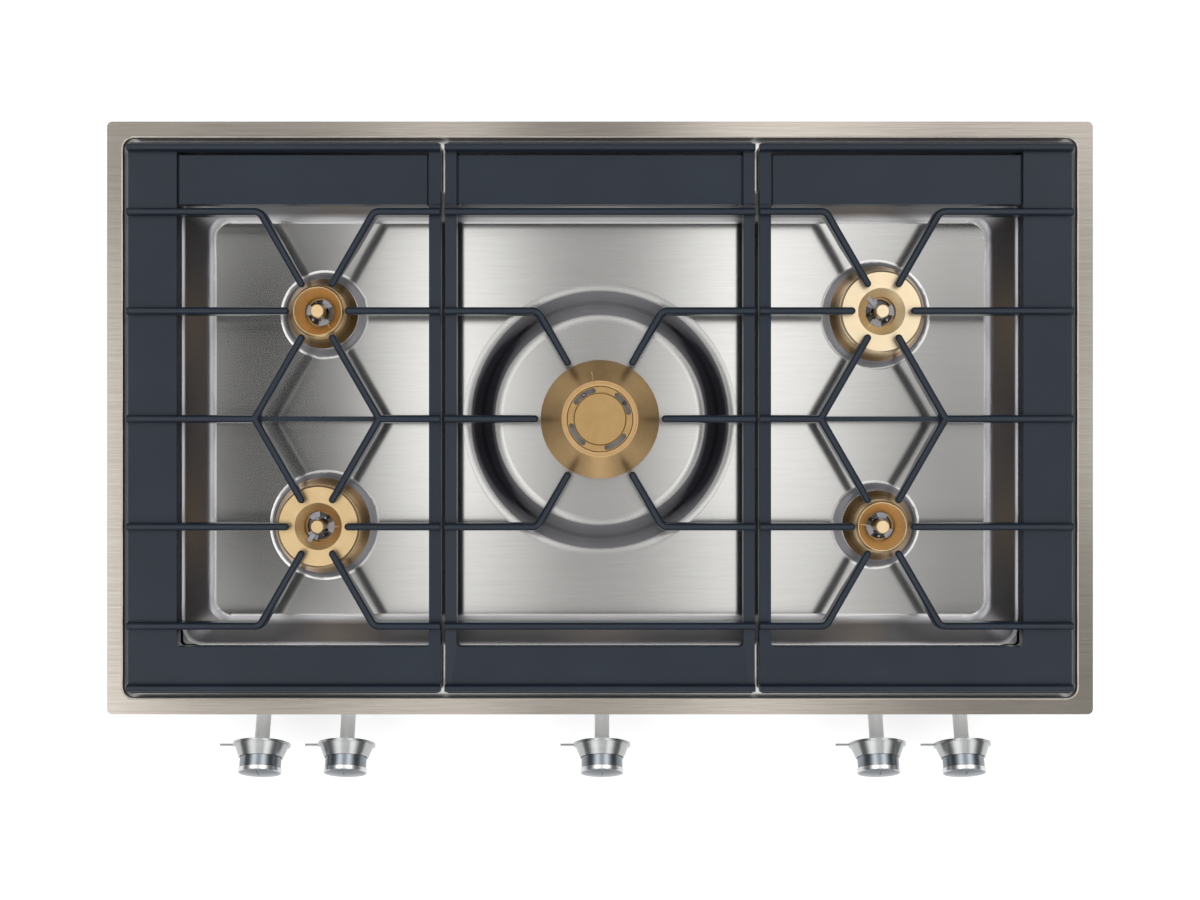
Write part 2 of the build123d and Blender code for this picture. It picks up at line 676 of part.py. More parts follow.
def center_support():
    """The centre pan support, with six fingers round the big burner."""
    half = CENTRE_SUPPORT_WIDTH / 2
    solid = plate_frame(-half, half, JOINT_PLATE, JOINT_PLATE)
    solid -= joint_slope(half, -1)
    solid -= joint_slope(-half, 1)
    bars = rim_bars(-half, half)
    for end_y in (BAR_YS[0], BAR_YS[4]):
        bars.append(bar([(-half, end_y), (half, end_y)]))
    bend_x = BURNER_ROW / math.tan(math.radians(FINGER_ANGLE))
    reach = CENTRE_TIP_R + BAR_FOOT / 2
    for side in (-1, 1):
        level = 0 if side > 0 else 180
        bars.append(bar([(side * half, FIELD_Y), tip_point(0, FIELD_Y, level, reach)], tip=True))
        for lift in (-1, 1):
            angle = lift * (FINGER_ANGLE if side > 0 else 180 - FINGER_ANGLE)
            row_y = FIELD_Y + lift * BURNER_ROW
            tip = tip_point(0, FIELD_Y, angle, reach)
            bars.append(bar([(side * half, row_y), (side * bend_x, row_y), tip], tip=True))
    solid += bars
    return solid - finger_relief(0, FIELD_Y, RELIEF_CENTRE_R, RELIEF_CENTRE_FOOT)


# ---- corner burners --------------------------------------------------------------------
def corner_base(x, y, size, turn):
    """Cast base through the tray, with the mixing bore and the holes of the two rods."""
    solid = turned(
        [
            (MIXING_BORE_R, CUP_FLOOR),
            (size["neck"], CUP_FLOOR),
            (size["neck"], BOSS_Z),
            (size["flange"], BOSS_Z),
            (size["flange"], BOSS_Z + FLANGE_THICK),
            (size["stub"], BOSS_Z + FLANGE_THICK),
            (size["stub"], STUB_TOP),
            (MIXING_BORE_R, STUB_TOP),
        ],
        x,
        y,
    )
    for angle in rod_angles(turn):
        place = tip_point(x, y, angle, ROD_CIRCLE_R)
        solid -= rod(ROD_RADIUS + SHAFT_FIT, CUP_FLOOR - 1, STUB_TOP + 1, *place)
    return solid


def rod_angles(turn):
    """The electrode and the flame sensor stand between the arms of the spider."""
    return (turn + 60.0, turn + 180.0)


def corner_head(x, y, size):
    """Conical brass head with its crown of flame ports."""
    foot_r = size["skirt"]
    cavity_foot = foot_r - SKIRT_WALL
    cavity_top = size["shoulder"] - SKIRT_WALL
    inner_wall = size["stub"] - RUNNING_GAP
    neck = size["ring"] - NECK_INSET
    solid = turned(
        [
            (foot_r, SKIRT_FOOT),
            (foot_r, SKIRT_FOOT + SKIRT_EDGE),
            (size["shoulder"], CONE_TOP),
            (neck, CONE_TOP),
            (neck, HEAD_TOP),
            (size["hole"], HEAD_TOP),
            (size["hole"], HEAD_LEDGE),
            (size["hole"] - LEDGE_WIDTH, HEAD_LEDGE),
            (size["hole"] - LEDGE_WIDTH, STUB_TOP),
            (inner_wall, STUB_TOP),
            (inner_wall, HEAD_LEDGE),
            (cavity_top, HEAD_LEDGE),
            (cavity_foot, SKIRT_FOOT),
        ],
        x,
        y,
    )
    across = (-PORT_WIDTH / 2, PORT_WIDTH / 2)
    port = block(neck - PORT_REACH, neck + 1, *across, HEAD_TOP - PORT_DEPTH, HEAD_TOP + 1)
    step = 360.0 / size["ports"]
    for index in range(size["ports"]):
        solid -= Pos(x, y, 0) * Rotation(0, 0, index * step) * port
    return solid


def corner_ring(x, y, size, turn, slit_turn):
    """Lift-off brass ring round a funnel, slit for lighting and notched for the tongue."""
    top = size["ring_top"]
    solid = turned(
        [
            (size["hole"], HEAD_TOP),
            (size["ring"], HEAD_TOP),
            (size["ring"], top - RIM_EDGE),
            (size["ring"] - RIM_EDGE, top),
            (size["funnel"], top),
            (size["hole"], HEAD_TOP + RING_LIP),
        ],
        x,
        y,
    )
    along = (size["hole"] - 1, size["ring"] + 1)
    across = (-LIGHTING_SLIT / 2, LIGHTING_SLIT / 2)
    slit = block(*along, *across, HEAD_TOP - 1, top - LIGHTING_ROOF)
    solid -= Pos(x, y, 0) * Rotation(0, 0, slit_turn) * slit
    if size["notch"]:
        half = SPIDER_ARM / 2 + TONGUE_GAP
        notch = block(size["hole"] - 1, size["notch"], -half, half, HEAD_TOP - 1, top + 1)
        solid -= Pos(x, y, 0) * Rotation(0, 0, turn) * notch
    return solid


def corner_spider(x, y, size, turn):
    """Steel spider: a hub on three arms, with an arc pad on each and a tongue on one."""
    reach = size["hole"] - SHAFT_FIT
    top = HEAD_LEDGE + SPIDER_THICK
    spider = rod(SPIDER_HUB_R, HEAD_LEDGE, top + SPIDER_PAD)
    for index in range(3):
        width = (-SPIDER_ARM / 2, SPIDER_ARM / 2)
        arm = block(0, reach - SPIDER_ARM_INSET, *width, HEAD_LEDGE, top)
        spider += Rotation(0, 0, index * 120.0) * arm
    ring = rod(reach - SPIDER_PAD_INSET, top, top + SPIDER_PAD)
    ring -= rod(SPIDER_PAD_R, top - 1, top + SPIDER_PAD + 1)
    half = SPIDER_PAD_ANGLE / 2
    wedge_reach = 2 * reach
    corners = [(0, 0), tip_point(0, 0, -half, wedge_reach), tip_point(0, 0, half, wedge_reach)]
    wedge = extrude(Plane.XY.offset(top) * make_face(Polyline(*corners, close=True)), SPIDER_PAD)
    for index in range(3):
        spider += ring & (Rotation(0, 0, index * 120.0) * wedge)
    if size["notch"]:
        width = (-SPIDER_ARM / 2, SPIDER_ARM / 2)
        tongue_top = HEAD_TOP + TONGUE_THICK
        spider += block(SPIDER_PAD_R, reach - SPIDER_ARM_INSET, *width, top, tongue_top)
        spider += block(SPIDER_PAD_R, size["notch"] - TONGUE_GAP, *width, HEAD_TOP, tongue_top)
    return Pos(x, y, 0) * Rotation(0, 0, turn) * spider


def corner_pin(x, y):
    """Brass pin that stands on the spider in the middle of a burner."""
    foot = HEAD_LEDGE + SPIDER_THICK + SPIDER_PAD
    side = [(PIN_RADIUS, foot), (PIN_RADIUS, PIN_TOP - PIN_EDGE)]
    return turned([(0, foot), *side, (PIN_RADIUS - PIN_EDGE, PIN_TOP), (0, PIN_TOP)], x, y)


# ---- centre burner ---------------------------------------------------------------------
def center_base():
    """Cast cup of the centre burner, standing in the dish."""
    well = CENTRE_BODY_R - CENTRE_BODY_WALL
    solid = turned(
        [
            (MIXING_BORE_R, CUP_FLOOR),
            (CENTRE_NECK_R, CUP_FLOOR),
            (CENTRE_NECK_R, DISH_Z),
            (CENTRE_FLANGE_R, DISH_Z),
            (CENTRE_FLANGE_R, DISH_Z + FLANGE_THICK),
            (CENTRE_BODY_R, DISH_Z + FLANGE_THICK),
            (CENTRE_BODY_R, CENTRE_BODY_TOP),
            (well, CENTRE_BODY_TOP),
            (well, CENTRE_CUP_Z),
            (MIXING_BORE_R, CENTRE_CUP_Z),
        ],
        y=FIELD_Y,
    )
    for place in center_rod_places():
        solid -= rod(ROD_RADIUS + SHAFT_FIT, CUP_FLOOR - 1, CENTRE_CUP_Z + 1, *place)
    return solid


def center_rod_places():
    """Plan places of the electrode and the flame sensor, under two slots of the cap."""
    angles = (CENTRE_SLOT_START, CENTRE_SLOT_START + 90.0)
    return [tip_point(0, FIELD_Y, angle, CENTRE_SLOT_R) for angle in angles]


def center_head():
    """Wide conical brass ring with flame ports under its edge and a channel inside."""
    seat = CENTRE_CAP_R + CENTRE_CAP_GAP
    solid = turned(
        [
            (CENTRE_EDGE_R, CENTRE_EDGE_Z - CENTRE_EDGE),
            (CENTRE_EDGE_R, CENTRE_EDGE_Z),
            (CENTRE_CREST_R, CENTRE_CREST_Z),
            (CENTRE_CHANNEL_R, CENTRE_CREST_Z),
            (CENTRE_CHANNEL_R, CENTRE_CHANNEL_Z),
            (seat, CENTRE_CHANNEL_Z),
            (seat, CENTRE_LEDGE_Z),
            (CENTRE_WELL_R, CENTRE_LEDGE_Z),
            (CENTRE_WELL_R, CENTRE_BODY_TOP),
        ],
        y=FIELD_Y,
    )
    low = CENTRE_EDGE_Z - CENTRE_EDGE
    across = (-PORT_WIDTH / 2, PORT_WIDTH / 2)
    port = block(CENTRE_BODY_R + 1, CENTRE_EDGE_R + 1, *across, low - 1, low + CENTRE_EDGE / 2)
    step = 360.0 / CENTRE_PORTS
    placed = Pos(0, FIELD_Y, 0)
    for index in range(CENTRE_PORTS):
        solid -= placed * Rotation(0, 0, index * step) * port
    across = (-CENTRE_SLIT / 2, CENTRE_SLIT / 2)
    along = (CENTRE_CHANNEL_R - 1, CENTRE_EDGE_R + 1)
    slit = block(*along, *across, CENTRE_CHANNEL_Z + 1, CENTRE_CREST_Z + 1)
    return solid - placed * Rotation(0, 0, CENTRE_SLIT_ANGLE) * slit


def center_cap():
    """Cap disc with four arc slots round its raised middle."""
    low = CENTRE_LEDGE_Z
    top = low + CENTRE_CAP_THICK
    disc = top + CENTRE_DISC_RISE
    solid = turned(
        [
            (0, low),
            (CENTRE_CAP_R, low),
            (CENTRE_CAP_R, top - CENTRE_CAP_EDGE),
            (CENTRE_CAP_R - CENTRE_CAP_EDGE, top),
            (CENTRE_DISC_R, top),
            (CENTRE_DISC_R, disc - CENTRE_DISC_EDGE),
            (CENTRE_DISC_R - CENTRE_DISC_EDGE, disc),
            (0, disc),
        ]
    )
    for index in range(4):
        arc = CenterArc(
            (0, 0),
            CENTRE_SLOT_R,
            CENTRE_SLOT_START + index * 90.0 - CENTRE_SLOT_ANGLE / 2,
            CENTRE_SLOT_ANGLE,
        )
        slot = SlotArc(arc, CENTRE_SLOT_WIDTH)
        solid -= extrude(Plane.XY.offset(low - 1) * slot, CENTRE_CAP_THICK + 2)
    return Pos(0, FIELD_Y, 0) * solid


def burner_rods(which):
    """Electrodes or flame sensors of all burners, by place in each burner's pair."""
    rods = []
    for x, y, size, turn in CORNER_BURNERS.values():
        place = tip_point(x, y, rod_angles(turn)[which], ROD_CIRCLE_R)
        rods.append(burner_rod(place, ROD_TOP, which))
    rods.append(burner_rod(center_rod_places()[which], CENTRE_CHANNEL_Z - CENTRE_CAP_THICK, which))
    return rods


def burner_rod(place, top, which):
    """A round rod with a pointed tip for a spark, or a blunt one for a sensor."""
    tip = (SPARK_TIP_R, SENSOR_TIP_R)[which]
    side = [(ROD_RADIUS, ROD_FOOT), (ROD_RADIUS, top - ROD_POINT)]
    return turned([(0, ROD_FOOT), *side, (tip, top), (0, top)], *place)


# ---- knobs -----------------------------------------------------------------------------
def knob_bezel(x):
    """Fixed conical bezel with its index pin at the side."""
    front = BEZEL_FLANGE + CONE_LENGTH
    bore = CAP_RADIUS + RUNNING_GAP
    hole = SPINDLE_R + LOOSE_FIT
    shell = turned(
        [
            (hole, 0),
            (BEZEL_RADIUS, 0),
            (BEZEL_RADIUS, BEZEL_FLANGE),
            (CONE_BACK_R, BEZEL_FLANGE),
            (CONE_FRONT_R, front),
            (bore, front),
            (bore, BEZEL_WALL),
            (hole, BEZEL_WALL),
        ]
    )
    length = INDEX_PIN_REACH + BEZEL_RADIUS - CONE_BACK_R + 1
    pin = Pos(-BEZEL_RADIUS - INDEX_PIN_REACH + length / 2, 0, INDEX_PIN_R) * Rotation(0, 90, 0)
    shell += pin * Cylinder(INDEX_PIN_R, length)
    return on_spindle(x, shell)


def knob_cap(x):
    """Turning and pressing cap: a cup with a broad front ring and a domed face."""
    back = BEZEL_FLANGE + CONE_LENGTH - CAP_OVERLAP
    ring_low = BEZEL_FLANGE + CONE_LENGTH + CAP_SHOWN
    front = ring_low + CAP_RING
    bore = SPINDLE_R + SHAFT_FIT
    cup = turned(
        [
            (CAP_RADIUS - CAP_WALL, back),
            (CAP_RADIUS, back),
            (CAP_RADIUS, ring_low),
            (CAP_RING_R, ring_low + CAP_RING_SLOPE),
            (CAP_RING_R, front - CAP_RING_EDGE),
            (CAP_RING_R - CAP_RING_EDGE, front),
            (CAP_FACE_R, front),
            (0, front),
            (0, ring_low),
            (bore, ring_low),
            (bore, ring_low - SPINDLE_GRIP),
            (CAP_BOSS_R, ring_low - SPINDLE_GRIP),
            (CAP_BOSS_R, ring_low - CAP_WEB),
            (CAP_RADIUS - CAP_WALL, ring_low - CAP_WEB),
        ]
    )
    ball = (CAP_FACE_R**2 + CAP_DOME**2) / (2 * CAP_DOME)
    dome = Pos(0, 0, front + CAP_DOME - ball) * Sphere(ball)
    cup += dome & rod(CAP_FACE_R, front - 1, front + CAP_DOME + 1)
    mark = block(
        -CAP_MARK / 2,
        CAP_MARK / 2,
        CAP_FACE_R - CAP_MARK_INSET - CAP_MARK_LENGTH,
        CAP_FACE_R - CAP_MARK_INSET,
        front,
        front + CAP_DOME + 1,
    )
    groove = mark - Pos(0, 0, front + CAP_DOME - ball - CAP_MARK_DEPTH) * Sphere(ball)
    return on_spindle(x, cup - groove)


def d_shaft(radius, flat, low, high):
    """An upright bar with one flat, as a spindle or the hole for it."""
    reach = radius + 1
    return rod(radius, low, high) & block(-reach, reach, -reach, flat, low - 1, high + 1)


def spindle_low():
    """Inner end of the spindle at rest, along its axis from the fascia."""
    return -VALVE_SETBACK - PLUG_SOCKET + PRESS_TRAVEL + RUNNING_GAP


def knob_spindle(x):
    """Steel spindle from the valve plug to the cap, with a flat that turns the plug."""
    front = BEZEL_FLANGE + CONE_LENGTH + CAP_SHOWN - SPINDLE_END_GAP
    engaged = -VALVE_SETBACK + PRESS_TRAVEL + 1
    shaft = rod(SPINDLE_R, engaged, front) + d_shaft(SPINDLE_R, SPINDLE_FLAT, spindle_low(), engaged)
    return on_spindle(x, shaft)


def spindle_tube(x):
    """Sleeve that carries a bezel in front of the box, with a collar on the box wall."""
    wall_y = -BOX_LENGTH / 2 - TUBE_COLLAR / 2
    out = (FASCIA_Y - wall_y) / math.cos(math.radians(FASCIA_TILT))
    collar = Pos(axis_point(x, out)) * Rotation(90, 0, 0) * Cylinder(TUBE_COLLAR_R, TUBE_COLLAR)
    bore = rod(SPINDLE_R + LOOSE_FIT, -VALVE_SETBACK - 1, 1)
    return on_spindle(x, rod(TUBE_R, -VALVE_SETBACK, 0)) + collar - on_spindle(x, bore)


def valve_body(x):
    """Brass gas valve: a round body on its saddle, with the outlet nose behind."""
    front = -VALVE_SETBACK
    back = front - VALVE_LENGTH
    body = rod(VALVE_R, back, front) + rod(NOSE_R, back - NOSE_LENGTH, back)
    body -= rod(PLUG_R, front - PLUG_LENGTH, front + 1)
    body -= rod(FEED_BORE_R, back - NOSE_LENGTH - 1, front - PLUG_LENGTH + 1)
    solid = on_spindle(x, body)
    half = MANIFOLD_SIDE / 2
    saddle = block(
        x - half, x + half, MANIFOLD_Y - half, MANIFOLD_Y + half, MANIFOLD_Z + half, SADDLE_TOP
    )
    return solid + (saddle - on_spindle(x, rod(PLUG_R + 1, back, front)))


def valve_plug(x):
    """Turning plug of the valve, with its gas port and the socket for the spindle."""
    front = -VALVE_SETBACK
    plug = rod(PLUG_R - SHAFT_FIT, front - PLUG_LENGTH + PLUG_END_GAP, front)
    section = (SPINDLE_R + SHAFT_FIT, SPINDLE_FLAT + SHAFT_FIT)
    socket = d_shaft(*section, front - PLUG_SOCKET, front + 1)
    port = Pos(0, 0, front - PLUG_LENGTH + PLUG_PORT_INSET) * Rotation(90, 0, 0)
    return on_spindle(x, plug - socket - port * Cylinder(PLUG_PORT_R, 3 * PLUG_R))


# ---- gas line --------------------------------------------------------------------------
def gas_manifold():
    """Square pipe under the valves."""
    low = KNOBS["rear_left"] - MANIFOLD_END
    high = KNOBS["rear_right"] + MANIFOLD_END
    half = MANIFOLD_SIDE / 2
    rail = block(
        low, high, MANIFOLD_Y - half, MANIFOLD_Y + half, MANIFOLD_Z - half, MANIFOLD_Z + half
    )
    bore = Pos((low + high) / 2 + MANIFOLD_WALL, MANIFOLD_Y, MANIFOLD_Z) * Rotation(0, 90, 0)
    return rail - bore * Cylinder(MANIFOLD_BORE_R, high - low)


def gas_inlet():
    """Steel pipe from the manifold's end to a nipple held in the rear wall by two nuts."""
    wall = BOX_LENGTH / 2
    points = [
        (KNOBS["rear_right"] + MANIFOLD_END, MANIFOLD_Y, MANIFOLD_Z),
        (INLET_X, MANIFOLD_Y, MANIFOLD_Z),
        (INLET_X, INLET_RISE_Y[0], MANIFOLD_Z),
        (INLET_X, INLET_RISE_Y[1], INLET_Z),
        (INLET_X, wall - INLET_NUT, INLET_Z),
    ]
    solid = pipe(points, INLET_BEND, INLET_PIPE_R, MANIFOLD_BORE_R)
    along = Pos(INLET_X, 0, INLET_Z) * Rotation(-90, 0, 0)
    seat = wall + INLET_LOCK_NUT
    nipple = rod(INLET_SHANK_R, wall - INLET_NUT, seat)
    nipple += rod(INLET_THREAD_R, seat, seat + INLET_THREAD)
    hexagon = RegularPolygon(INLET_NUT_R, 6)
    nipple += extrude(Plane.XY.offset(wall - INLET_NUT - 1) * hexagon, INLET_NUT + 1 - BOX_SHEET)
    nipple += extrude(Plane.XY.offset(wall) * hexagon, INLET_LOCK_NUT)
    bore = rod(MANIFOLD_BORE_R, wall - INLET_NUT - 2, seat + INLET_THREAD + 1)
    return solid + along * (nipple - bore)


def feed_pipes():
    """One pipe from each valve to the injector holder of its burner."""
    half = HOLDER_SIDE / 2
    nose = -VALVE_SETBACK - VALVE_LENGTH - NOSE_LENGTH
    level = CUP_FLOOR - HOLDER_HEIGHT / 2
    places = {name: burner[:2] for name, burner in CORNER_BURNERS.items()}
    places["center"] = (0.0, FIELD_Y)
    pipes = []
    for name, (burner_x, burner_y) in places.items():
        x = KNOBS[name]
        points = [axis_point(x, nose), axis_point(x, nose - FEED_RUN), (x, FEED_RISE_Y, level)]
        if name.startswith("rear"):
            side = math.copysign(half, x)
            points += [(x, burner_y, level), (burner_x + side, burner_y, level)]
        else:
            end_y = burner_y - half
            points += [(burner_x, end_y - FEED_RUN, level), (burner_x, end_y, level)]
        pipes.append(pipe(points, FEED_BEND, FEED_PIPE_R, FEED_BORE_R))
    return pipes


def injector_holders():
    """Brass block under each burner, with its injector standing in the mixing bore."""
    holders = []
    places = [(x, y) for x, y, _, _ in CORNER_BURNERS.values()]
    half = HOLDER_SIDE / 2
    for x, y in [*places, (0.0, FIELD_Y)]:
        body = block(x - half, x + half, y - half, y + half, CUP_FLOOR - HOLDER_HEIGHT, CUP_FLOOR)
        holders.append(body + rod(INJECTOR_R, CUP_FLOOR, CUP_FLOOR + INJECTOR_HEIGHT, x, y))
    return holders


# ---- box, seal and fixings -------------------------------------------------------------
def under_box():
    """Folded sheet box that closes the cooktop from below."""
    top = LEDGE_Z - SHEET
    solid = slab(BOX_WIDTH, BOX_LENGTH, BOX_CORNER_R, BOX_FLOOR, top)
    inner_r = BOX_CORNER_R - BOX_SHEET
    inside = (BOX_WIDTH - 2 * BOX_SHEET, BOX_LENGTH - 2 * BOX_SHEET)
    solid -= slab(*inside, inner_r, BOX_FLOOR + BOX_SHEET, top - BOX_SHEET)
    mouth = (BOX_WIDTH - 2 * BOX_LIP, BOX_LENGTH - 2 * BOX_LIP)
    solid -= slab(*mouth, inner_r, top - 2 * BOX_SHEET, top + 1)
    for x in KNOBS.values():
        solid -= on_spindle(x, rod(TUBE_R + LOOSE_FIT, -VALVE_SETBACK, 0))
    rear = Pos(INLET_X, BOX_LENGTH / 2, INLET_Z) * Rotation(90, 0, 0)
    solid -= rear * Cylinder(INLET_SHANK_R + LOOSE_FIT, 4 * BOX_SHEET)
    vent = SlotOverall(VENT_LENGTH, VENT_WIDTH)
    for side in (-1, 1):
        for index in range(VENT_COUNT):
            offset = (index - (VENT_COUNT - 1) / 2) * VENT_PITCH
            place = Plane.XY.offset(BOX_FLOOR - 1) * Pos(side * BURNER_X, offset, 0)
            solid -= extrude(place * vent, 2 * BOX_SHEET + 1)
    return solid


def hold_down_clamps():
    """Four clamps on the box walls, each with the screw that pulls the flange down."""
    clamps = []
    screw_out = CLAMP_REACH - CLAMP_FOOT_R - CLAMP_FOOT_INSET
    for side in (-1, 1):
        wall = side * BOX_WIDTH / 2
        for y in (-CLAMP_ROW, CLAMP_ROW):
            across = (y - CLAMP_WIDTH / 2, y + CLAMP_WIDTH / 2)
            skin = sorted((wall, wall + side * CLAMP_PLATE))
            tongue = sorted((wall, wall + side * CLAMP_REACH))
            place = (wall + side * screw_out, y)
            clamp = block(*skin, *across, CLAMP_TONGUE_Z - CLAMP_HEIGHT, CLAMP_TONGUE_Z)
            clamp += block(*tongue, *across, CLAMP_TONGUE_Z - CLAMP_PLATE, CLAMP_TONGUE_Z)
            hole = (CLAMP_TONGUE_Z - CLAMP_PLATE - 1, CLAMP_TONGUE_Z + 1)
            clamps.append(clamp - rod(CLAMP_SCREW_R + SHAFT_FIT, *hole, *place))
            foot = CLAMP_SCREW_TOP - CLAMP_FOOT
            screw = rod(CLAMP_SCREW_R, CLAMP_SCREW_TOP - CLAMP_SCREW_LENGTH, foot, *place)
            clamps.append(screw + rod(CLAMP_FOOT_R, foot, CLAMP_SCREW_TOP, *place))
    return clamps


def ignition_module():
    """Spark unit on the box floor, with one outlet stud for each burner."""
    floor = BOX_FLOOR + BOX_SHEET
    solid = Pos(0, MODULE_Y, 0) * slab(
        MODULE_WIDTH, MODULE_LENGTH, MODULE_CORNER_R, floor, floor + MODULE_HEIGHT
    )
    front = MODULE_Y - MODULE_LENGTH / 2
    for index in range(5):
        x = (index - 2) * MODULE_SPARK_PITCH
        stud = Pos(x, front - MODULE_SPARK / 2, floor + MODULE_HEIGHT / 2) * Rotation(90, 0, 0)
        solid += stud * Cylinder(MODULE_SPARK_R, MODULE_SPARK)
    return solid


# ---- the whole cooktop -----------------------------------------------------------------
parts["steel_tray"] = steel_tray()
parts["worktop_seal"] = worktop_seal()
parts["under_box"] = under_box()
parts["hold_down_clamps"] = hold_down_clamps()
parts["ignition_module"] = ignition_module()
parts["gas_manifold"] = gas_manifold()
parts["gas_inlet"] = gas_inlet()
parts["feed_pipes"] = feed_pipes()
parts["injector_holders"] = injector_holders()
parts["ignition_electrodes"] = burner_rods(0)
parts["flame_sensors"] = burner_rods(1)
parts["valve_bodies"] = [valve_body(x) for x in KNOBS.values()]
parts["spindle_tubes"] = [spindle_tube(x) for x in KNOBS.values()]
parts["knob_bezels"] = [knob_bezel(x) for x in KNOBS.values()]

left = left_support()
parts["pan_support_left"] = foot_seats(left, foot_places(-1))
parts["pan_support_center"] = foot_seats(center_support(), foot_places(0))
parts["pan_support_right"] = foot_seats(mirror(left, Plane.YZ), foot_places(1))
parts["support_feet_left"] = rubber_feet(foot_places(-1))
parts["support_feet_center"] = rubber_feet(foot_places(0))
parts["support_feet_right"] = rubber_feet(foot_places(1))

for name, (x, y, size, turn) in CORNER_BURNERS.items():
    parts[f"burner_base_{name}"] = corner_base(x, y, size, turn)
    parts[f"burner_head_{name}"] = corner_head(x, y, size)
    parts[f"burner_ring_{name}"] = corner_ring(x, y, size, turn, RING_SLITS[name])
    parts[f"burner_spider_{name}"] = corner_spider(x, y, size, turn)
    parts[f"burner_pin_{name}"] = corner_pin(x, y)
parts["burner_base_center"] = center_base()
parts["burner_head_center"] = center_head()
parts["burner_cap_center"] = center_cap()

for name, x in KNOBS.items():
    parts[f"knob_cap_{name}"] = knob_cap(x)
    parts[f"knob_spindle_{name}"] = knob_spindle(x)
    parts[f"valve_plug_{name}"] = valve_plug(x)

os.makedirs("parts", exist_ok=True)
for name, solid in parts.items():
    group = Compound(children=solid) if isinstance(solid, list) else solid
    export_step(group, f"parts/{name}.step")
print(len(parts), "pieces written")
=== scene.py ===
# %% [markdown]
# # A gas cooktop with five brass burners
#
# A built-in cooktop is a pressed steel tray that hangs in a hole of the worktop. Cast iron
# supports carry the pans, brass burners make the flames, and valves, pipes and an ignition
# module sit in a sheet box below. All of it is modelled already, as solids in metres: X to the
# cook's right, Y away from the cook, Z up, and zero at the upper face of the worktop. This
# script leaves each solid where it is and gives it the finish of its real material. It also
# sets up a camera straight above the tray, a white tent of light and a floor.

# %% The frame
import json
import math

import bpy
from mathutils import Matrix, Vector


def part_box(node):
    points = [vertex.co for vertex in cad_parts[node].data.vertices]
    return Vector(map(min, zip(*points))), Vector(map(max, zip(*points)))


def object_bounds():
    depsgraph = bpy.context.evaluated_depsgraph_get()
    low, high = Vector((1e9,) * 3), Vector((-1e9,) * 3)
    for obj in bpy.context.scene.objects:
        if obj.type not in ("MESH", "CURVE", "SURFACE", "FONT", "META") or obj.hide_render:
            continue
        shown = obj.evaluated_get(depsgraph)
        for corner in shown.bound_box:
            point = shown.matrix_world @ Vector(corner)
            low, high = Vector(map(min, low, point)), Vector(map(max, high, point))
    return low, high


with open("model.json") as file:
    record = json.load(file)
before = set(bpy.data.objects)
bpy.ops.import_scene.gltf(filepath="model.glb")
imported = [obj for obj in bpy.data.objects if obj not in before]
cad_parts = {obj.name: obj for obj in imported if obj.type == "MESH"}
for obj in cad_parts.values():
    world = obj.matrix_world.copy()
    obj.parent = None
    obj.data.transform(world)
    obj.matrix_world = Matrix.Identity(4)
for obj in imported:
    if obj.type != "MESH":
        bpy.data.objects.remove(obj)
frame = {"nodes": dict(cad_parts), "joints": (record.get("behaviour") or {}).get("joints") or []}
cad_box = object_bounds()

# %% [markdown]
# ## Units and names
#
# Blender counts in metres, and a cooktop is drawn in millimetres, so sizes below are written
# in millimetres times MM. The model comes as named parts. A part is one piece or several
# pieces that are alike, and one that comes once for each burner or knob carries its place in
# its name.

MM = 0.001
CORNERS = ("rear_left", "front_left", "rear_right", "front_right")
BURNERS = (*CORNERS, "center")

parts = frame["nodes"]
print("box of the model in millimetres:")
print([[round(v / MM, 1) for v in corner] for corner in cad_box])

# %% [markdown]
# ## The camera
#
# The photograph looks straight down. A 50 mm lens on a 36 mm wide sensor sees 0.72 m for each
# metre of distance, so the height of the camera follows from how wide the flange is in the
# picture: 986 of 1200 pixels for 908 mm. A view without perspective would be simpler, but in
# the photograph the upper levels stand slightly outwards of the lower ones. The knobs in
# front of the tray are in the picture too, so its middle lies a little in front of the middle
# of the tray.

# %% Camera
PICTURE_WIDTH = 1200
FLANGE_PIXELS = 986
FLANGE_WIDTH = 908 * MM
FLANGE_TOP = 3 * MM
LENS = 50.0
SENSOR = 36.0
AIM_Y = -29.5 * MM

seen_width = FLANGE_WIDTH * PICTURE_WIDTH / FLANGE_PIXELS
camera_data = bpy.data.cameras.new("plan_camera")
camera_data.lens = LENS
camera_data.sensor_width = SENSOR
camera = bpy.data.objects.new("plan_camera", camera_data)
camera.location = (0.0, AIM_Y, FLANGE_TOP + seen_width * LENS / SENSOR)
bpy.context.scene.collection.objects.link(camera)
bpy.context.scene.camera = camera
bpy.context.scene.view_settings.view_transform = "Standard"
print("camera height in metres:", round(camera.location.z, 3))

# %% [markdown]
# ## One function for every node
#
# A shader is a small graph. Each of its nodes has settings, such as the kind of calculation,
# and sockets, which take a number or a link from another node. One function makes a node and
# fills both. Calculations with numbers and with vectors are so common that each gets a short
# name.


# %% Nodes and calculations
def add(owner, kind, sockets=None, **settings):
    """Adds one node to a material or world, with its settings, values and links."""
    tree = owner.node_tree
    node = tree.nodes.new("ShaderNode" + kind)
    for name, value in settings.items():
        setattr(node, name, value)
    for socket, value in (sockets or {}).items():
        if isinstance(value, bpy.types.NodeSocket):
            tree.links.new(value, node.inputs[socket])
        else:
            node.inputs[socket].default_value = value
    return node


def calc(owner, operation, *values):
    """One calculation with numbers, each of them a value or a link."""
    return add(owner, "Math", dict(enumerate(values)), operation=operation).outputs[0]


def vector(owner, operation, *values):
    """The same with vectors; a length, a distance or a dot product is a number."""
    node = add(owner, "VectorMath", dict(enumerate(values)), operation=operation)
    is_number = operation in ("LENGTH", "DISTANCE", "DOT_PRODUCT")
    return node.outputs["Value" if is_number else "Vector"]


